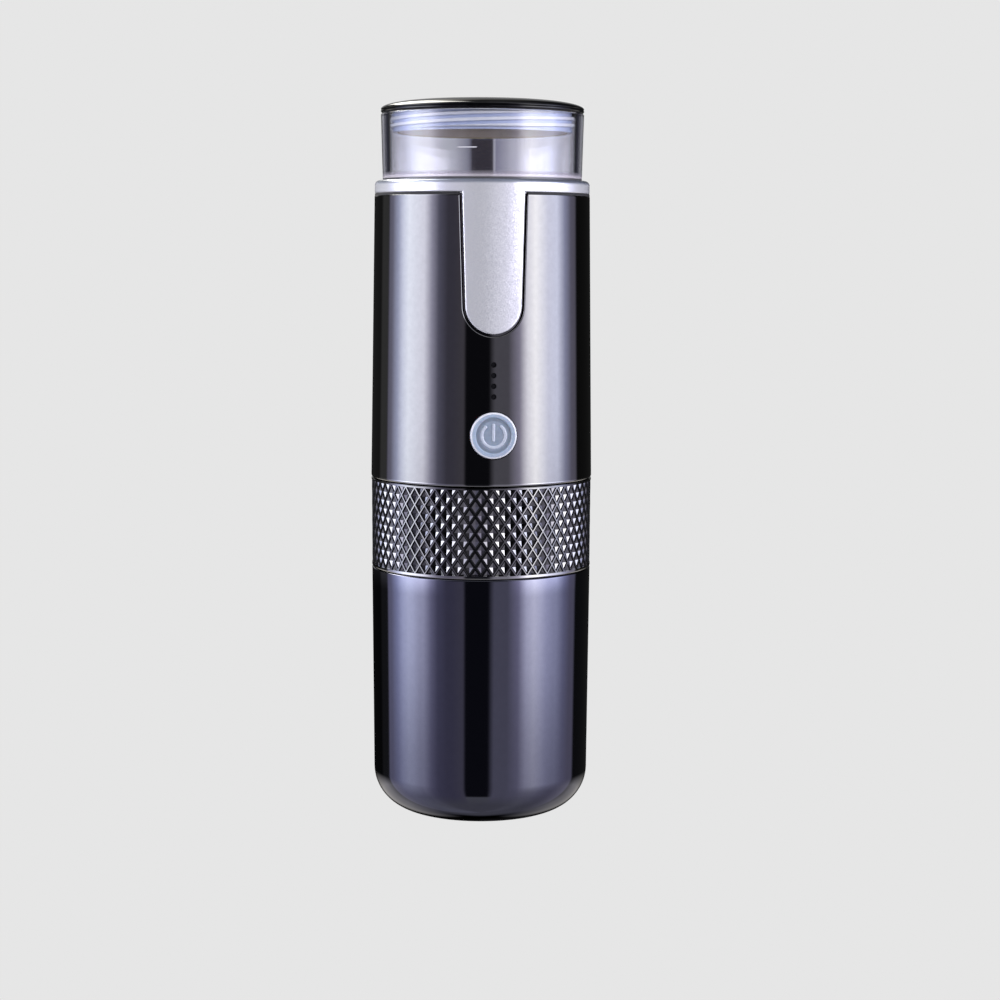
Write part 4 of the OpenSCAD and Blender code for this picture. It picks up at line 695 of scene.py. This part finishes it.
def lathe(name, profile, material, body, stands_for):
    """Closed profile of (radius, height) points turned about the axis."""
    verts, faces, rings = [], [], []
    sizes = [LATHE_COLS if r > 0 else 1 for r, _ in profile]
    for (r, z), size in zip(profile, sizes):
        rings.append(len(verts))
        verts += [turned(r, 360 * col / LATHE_COLS, z) for col in range(size)]
    pairs = zip(zip(rings, sizes), zip(rings[1:] + rings[:1], sizes[1:] + sizes[:1]))
    for (a, size_a), (b, size_b) in pairs:
        for col in range(LATHE_COLS if max(size_a, size_b) > 1 else 0):
            corners = [a + col % size_a, a + (col + 1) % size_a, b + (col + 1) % size_b, b + col % size_b]
            faces.append(tuple(dict.fromkeys(corners)))
    make(name, verts, faces, material, body, smooth=30.0, stands_for=stands_for)


def cup_outside():
    """Cup wall with its large round corner, its rim and the seat of the pad."""
    low, top, z0, z1, corner, wall, lip = 37.15, 37.75, 0.6, 85.75, 14.4, 1.8, 0.6
    seat_r, seat_z = 20.0, 1.4
    bow_steps, rise_steps, lip_steps = 40, 12, 6
    zc = z0 + corner

    def line(inset, z_end):
        """Profile of the corner and the wall, set inward, up to a height."""
        bow = [(low - corner + (corner - inset) * math.sin(QUARTER * i / bow_steps),
                zc - (corner - inset) * math.cos(QUARTER * i / bow_steps)) for i in range(bow_steps + 1)]
        rise = [(low - inset + (top - low) * (z - zc) / (z1 - zc), z)
                for z in [zc + (z_end - zc) * i / rise_steps for i in range(1, rise_steps + 1)]]
        return bow + rise

    seat = [(0, seat_z), (seat_r, seat_z), (seat_r, z0)]
    rim = [(top - lip + lip * math.cos(QUARTER * i / lip_steps), z1 - lip + lip * math.sin(QUARTER * i / lip_steps))
           for i in range(1, lip_steps + 1)]
    profile = seat + line(0, z1 - lip) + rim + line(wall, z1)[::-1] + [(0, z0 + wall)]
    lathe("cup_wall", profile, cup_paint, "cup", ("cup_shell",))


def lid_dome():
    """Low domed lid with a bevelled edge, and the seats of its seal and plug."""
    r, z0, z1, bevel, band = 34.5, 240.65, 245.0, 0.25, 0.6
    rise, fullness, steps = 3.25, 0.625, 56
    plug_in, plug_out, plug_top = 28.95, 31.25, z0 + 1.6
    seal_in, seal_out, seal_top = 31.7, 33.6, z0 + 0.8
    seats = [(0, z0), (plug_in, z0), (plug_in, plug_top), (plug_out, plug_top), (plug_out, z0),
             (seal_in, z0), (seal_in, seal_top), (seal_out, seal_top), (seal_out, z0)]
    edge = [(r - bevel, z0), (r, z0 + bevel), (r, z0 + band), (r - bevel, z0 + band + bevel)]
    dome = [(r * max(0.0, math.cos(QUARTER * i / steps)) ** fullness, z1 - rise * (1 - math.sin(QUARTER * i / steps)))
            for i in range(steps)]
    lathe("lid_dome", seats + edge + dome + [(0, z1)], lid_black, "lid", ("lid_cap",))


def threaded_plug():
    """Plug under the lid: a pale sleeve with a three-start thread."""
    r_in, root, tip, z0, z1, lead, starts = 29.0, 30.45, 31.38, 233.85, 242.25, 6.6, 3
    plain, run_in, thread_top, run_out, lip = 0.5, 0.6, 240.1, 0.5, 0.45
    crown, slope, near_bore = 2.6, 8.0, 0.2
    cols, rows = 180, 64
    verts = []
    for row in range(rows + 1):
        z = z0 + (z1 - z0) * row / rows
        fade = clamp((z - z0 - plain) / run_in) * clamp((thread_top - z) / run_out)
        for col in range(cols):
            turn = col / cols
            phase = ((z - z0) - lead * turn) / (lead / starts) % 1.0
            ridge = clamp(crown - abs(phase - 0.5) * slope)
            ridge = ridge * ridge * (3 - 2 * ridge)
            verts.append(turned(root + (tip - root) * ridge * fade, 360 * turn, z))
    foot, head, lip_top = [len(verts) + cols * k for k in range(3)]
    verts += [turned(r_in, 360 * col / cols, z) for z in (z0, z1, z0 + lip) for col in range(cols)]

    def quad(a, b, col):
        """Face between two rings of vertices that start at a and b."""
        right = (col + 1) % cols
        return (a + col, a + right, b + right, b + col)

    faces = [quad(row * cols, (row + 1) * cols, col) for row in range(rows) for col in range(cols)]
    faces += [quad(a, b, col) for col in range(cols)
              for a, b in ((0, foot), (rows * cols, head), (foot, lip_top), (lip_top, head))]
    piece = make("lid_plug_thread", verts, faces, plug_blue, "lid", smooth=40.0,
                 stands_for=("lid_skirt",))
    piece.data.materials.append(plug_inside)
    piece.data.materials.append(plug_lip)
    for face in piece.data.polygons:
        centre = face.center
        if math.hypot(centre.x, centre.y) < (r_in + near_bore) * MM:
            face.material_index = 2 if centre.z < (z0 + lip) * MM else 1


def helix(name, r_base, r_tip, z0, z1, shift, body):
    """Thread ridges between the body and the brew head; the ends run out into the wall."""
    lead, starts, width, flat = 12.0, 4, 0.55, 0.45
    steps, run_out = 60, 8
    verts, faces = [], []
    sweep = 360 * (z1 - z0) / lead
    for start in range(starts):
        first = len(verts)
        for step in range(steps + 1):
            t = step / steps
            rise = min(1.0, t * run_out, (1 - t) * run_out)
            angle = start * 360 / starts + sweep * t
            z = z0 + (z1 - z0) * t + shift
            tip = r_base + (r_tip - r_base) * rise
            for r, dz in ((r_base, -width), (tip, -width * flat), (tip, width * flat), (r_base, width)):
                verts.append(turned(r, angle, z + dz))
        faces += skin(steps + 1, 4, first)
    make(name, verts, faces, inner_black, body, smooth=25.0)


def stroke(path, half, height, centre):
    """A rounded raised stroke on the button face: path in (right, up) from the centre, outward along -Y."""
    caps, ring, stub, sunk, end_share, roundness = 5, 8, 0.02, 0.12, 0.3, 0.8
    last = len(path) - 1
    verts = []

    def direction(i):
        """Direction of the path at one of its points."""
        a, b = path[max(0, i - 1)], path[min(last, i + 1)]
        return Vector((b[0] - a[0], b[1] - a[1])).normalized()

    def cap(i, k, way):
        """Row of a round end, k steps beyond a point of the path."""
        turn = QUARTER * k / caps
        return Vector(path[i]) + direction(i) * (way * half * math.sin(turn)), direction(i), math.cos(turn) + stub

    rows = [cap(0, k, -1) for k in range(caps, 0, -1)]
    rows += [(Vector(p), direction(i), 1.0) for i, p in enumerate(path)]
    rows += [cap(last, k, 1) for k in range(1, caps + 1)]
    for at, d, scale in rows:
        across = Vector((-d.y, d.x))
        arch = [math.pi * j / ring for j in range(ring + 1)]
        peak = height * (end_share + (1 - end_share) * scale)
        depths = [-peak * math.sin(a) ** roundness for a in arch] + [sunk, sunk]
        for a, y in zip(arch + [math.pi, 0.0], depths):
            p = at + across * (half * scale * math.cos(a))
            verts.append((centre[0] + p.x, centre[1] + y, centre[2] + p.y))
    return verts, skin(len(rows), ring + 3)


def power_sign():
    """The usual round power sign, raised in the dish of the button, in a tone lighter than the button's: painted
    highlight on its raised strokes.
    """
    centre, radius, height = (0.0, -37.551, BUTTON_Z), 3.9, 0.34
    arc_half, bar_half, bar_top, bar_length, bar_steps = 0.56, 0.52, 3.5, 5.0, 8
    arc = [(radius * math.sin(math.radians(a)), radius * math.cos(math.radians(a))) for a in range(41, 320, 6)]
    bar = [(0.0, bar_top - bar_length * i / bar_steps) for i in range(bar_steps + 1)]
    verts, faces = stroke(arc, arc_half, height, centre)
    more, extra = stroke(bar, bar_half, height, centre)
    faces += [tuple(len(verts) + i for i in face) for face in extra]
    make("power_sign", verts + more, faces, sign_light, "button", smooth=50.0)


def button_rim():
    """Rounded edge of the button, in a tone paler than the button: painted highlight."""
    section = [(7.12, -38.0), (7.34, -37.965), (7.54, -37.86), (7.67, -37.69), (7.72, -37.45), (7.60, -37.45),
               (7.05, -37.90)]
    steps = 96
    verts = [(r * math.sin(math.tau * i / steps), y, BUTTON_Z + r * math.cos(math.tau * i / steps))
             for i in range(steps) for r, y in section]
    faces = skin(steps, len(section), closed=True)
    make("button_rim", verts, faces, rim_painted_highlight, "button", smooth=50.0)


def shell_radius(z):
    """Radius of the shell at a height."""
    return SHELL_R - SHELL_TAPER * (z - SHELL_FOOT) / SHELL_RISE


def tongue_path(grow, top):
    """Outline of the tongue seen from the front, grown outward: left side down, round the end, right side up."""
    end_r, end_z, top_half, top_z = 9.25, 176.35, 10.3, 214.35
    side_steps, arc_steps = 12, 36

    def half_width(z):
        """Half of the tongue's width at a height."""
        return end_r + (top_half - end_r) * (z - end_z) / (top_z - end_z)

    levels = [end_z + (top_z - end_z) * k / side_steps for k in range(side_steps + 1)]
    side = [(half_width(z), z) for z in levels if z < top] + [(half_width(top), top)]
    left = [(-x - grow, z) for x, z in reversed(side)]
    turns = [math.pi * k / arc_steps for k in range(1, arc_steps)]
    arc = [(-(end_r + grow) * math.cos(a), end_z - (end_r + grow) * math.sin(a)) for a in turns]
    return left + arc + [(x + grow, z) for x, z in side]


def tongue_strip(name, profile, top, material):
    """A strip along the tongue's outline: the profile is a closed loop of (grow, depth below the shell's surface)."""
    verts, faces = [], []
    for grow, depth in profile:
        for x, z in tongue_path(grow, top):
            r = shell_radius(z) - depth
            verts.append((x, -math.sqrt(r * r - x * x), z))
    count = len(verts) // len(profile)
    for k in range(len(profile)):
        a, b = k * count, (k + 1) % len(profile) * count
        for i in range(count - 1):
            faces.append((a + i, a + i + 1, b + i + 1, b + i))
    faces.append(tuple(k * count for k in range(len(profile))))
    faces.append(tuple(k * count + count - 1 for k in range(len(profile))))
    make(name, verts, faces, material, "main_body", smooth=40.0)


def seam_ring():
    """Dark ring that stands in for the shadow in the seam between the shell and the collar (painted shade), open where
    the tongue comes down.
    """
    section = [(36.61, 212.45), (36.60, 213.30), (36.50, 213.39), (35.70, 213.39), (35.70, 212.92), (36.25, 212.87),
               (36.50, 212.66)]
    steps, half = 150, 18.0
    verts = []
    for i in range(steps + 1):
        a = half + (360 - 2 * half) * i / steps
        verts += [turned(r, a, z) for r, z in section]
    make("seam_ring", verts, skin(steps + 1, len(section)), rubber, "main_body", smooth=25.0)


def fill_line():
    """Plain fill line printed on the tank, left of the middle, with tapered ends."""
    wall_r, face_r, middle, thick = 34.15, 34.23, 227.8, 0.2
    first, sweep, steps = -20.2, 11.2, 14
    end_share, taper = 0.35, 6
    verts = []
    for i in range(steps + 1):
        t = i / steps
        half = thick * min(1.0, end_share + taper * min(t, 1 - t))
        low, high = middle - half, middle + half
        for r, z in ((wall_r, low), (face_r, low), (face_r, high), (wall_r, high)):
            verts.append(turned(r, first + sweep * t, z))
    make("fill_line", verts, skin(steps + 1, 4), mark_white, "main_body", smooth=40.0)


add_camera()
add_studio()
add_fill()
add_back_card()
add_floor()
dress()
knurl_ring()
cup_outside()
lid_dome()
threaded_plug()
helix("neck_thread", r_base=30.58, r_tip=30.86, z0=117.0, z1=121.8, shift=0.0, body="brew_head")
helix("socket_thread", r_base=31.02, r_tip=30.74, z0=117.8, z1=124.6, shift=0.7, body="main_body")
power_sign()
button_rim()
tongue_strip("tongue_bead", [(0.0, 0.46), (-0.03, 0.33), (-0.10, 0.21), (-0.22, 0.135), (-0.40, 0.105), (-0.62, 0.094),
                             (-0.62, 0.44)], top=213.9, material=silver)
tongue_strip("recess_lip", [(1.22, -0.004), (1.08, 0.06), (0.86, 0.36), (0.84, 0.46), (1.22, 0.46)],
             top=212.2, material=gunmetal)
fill_line()
seam_ring()
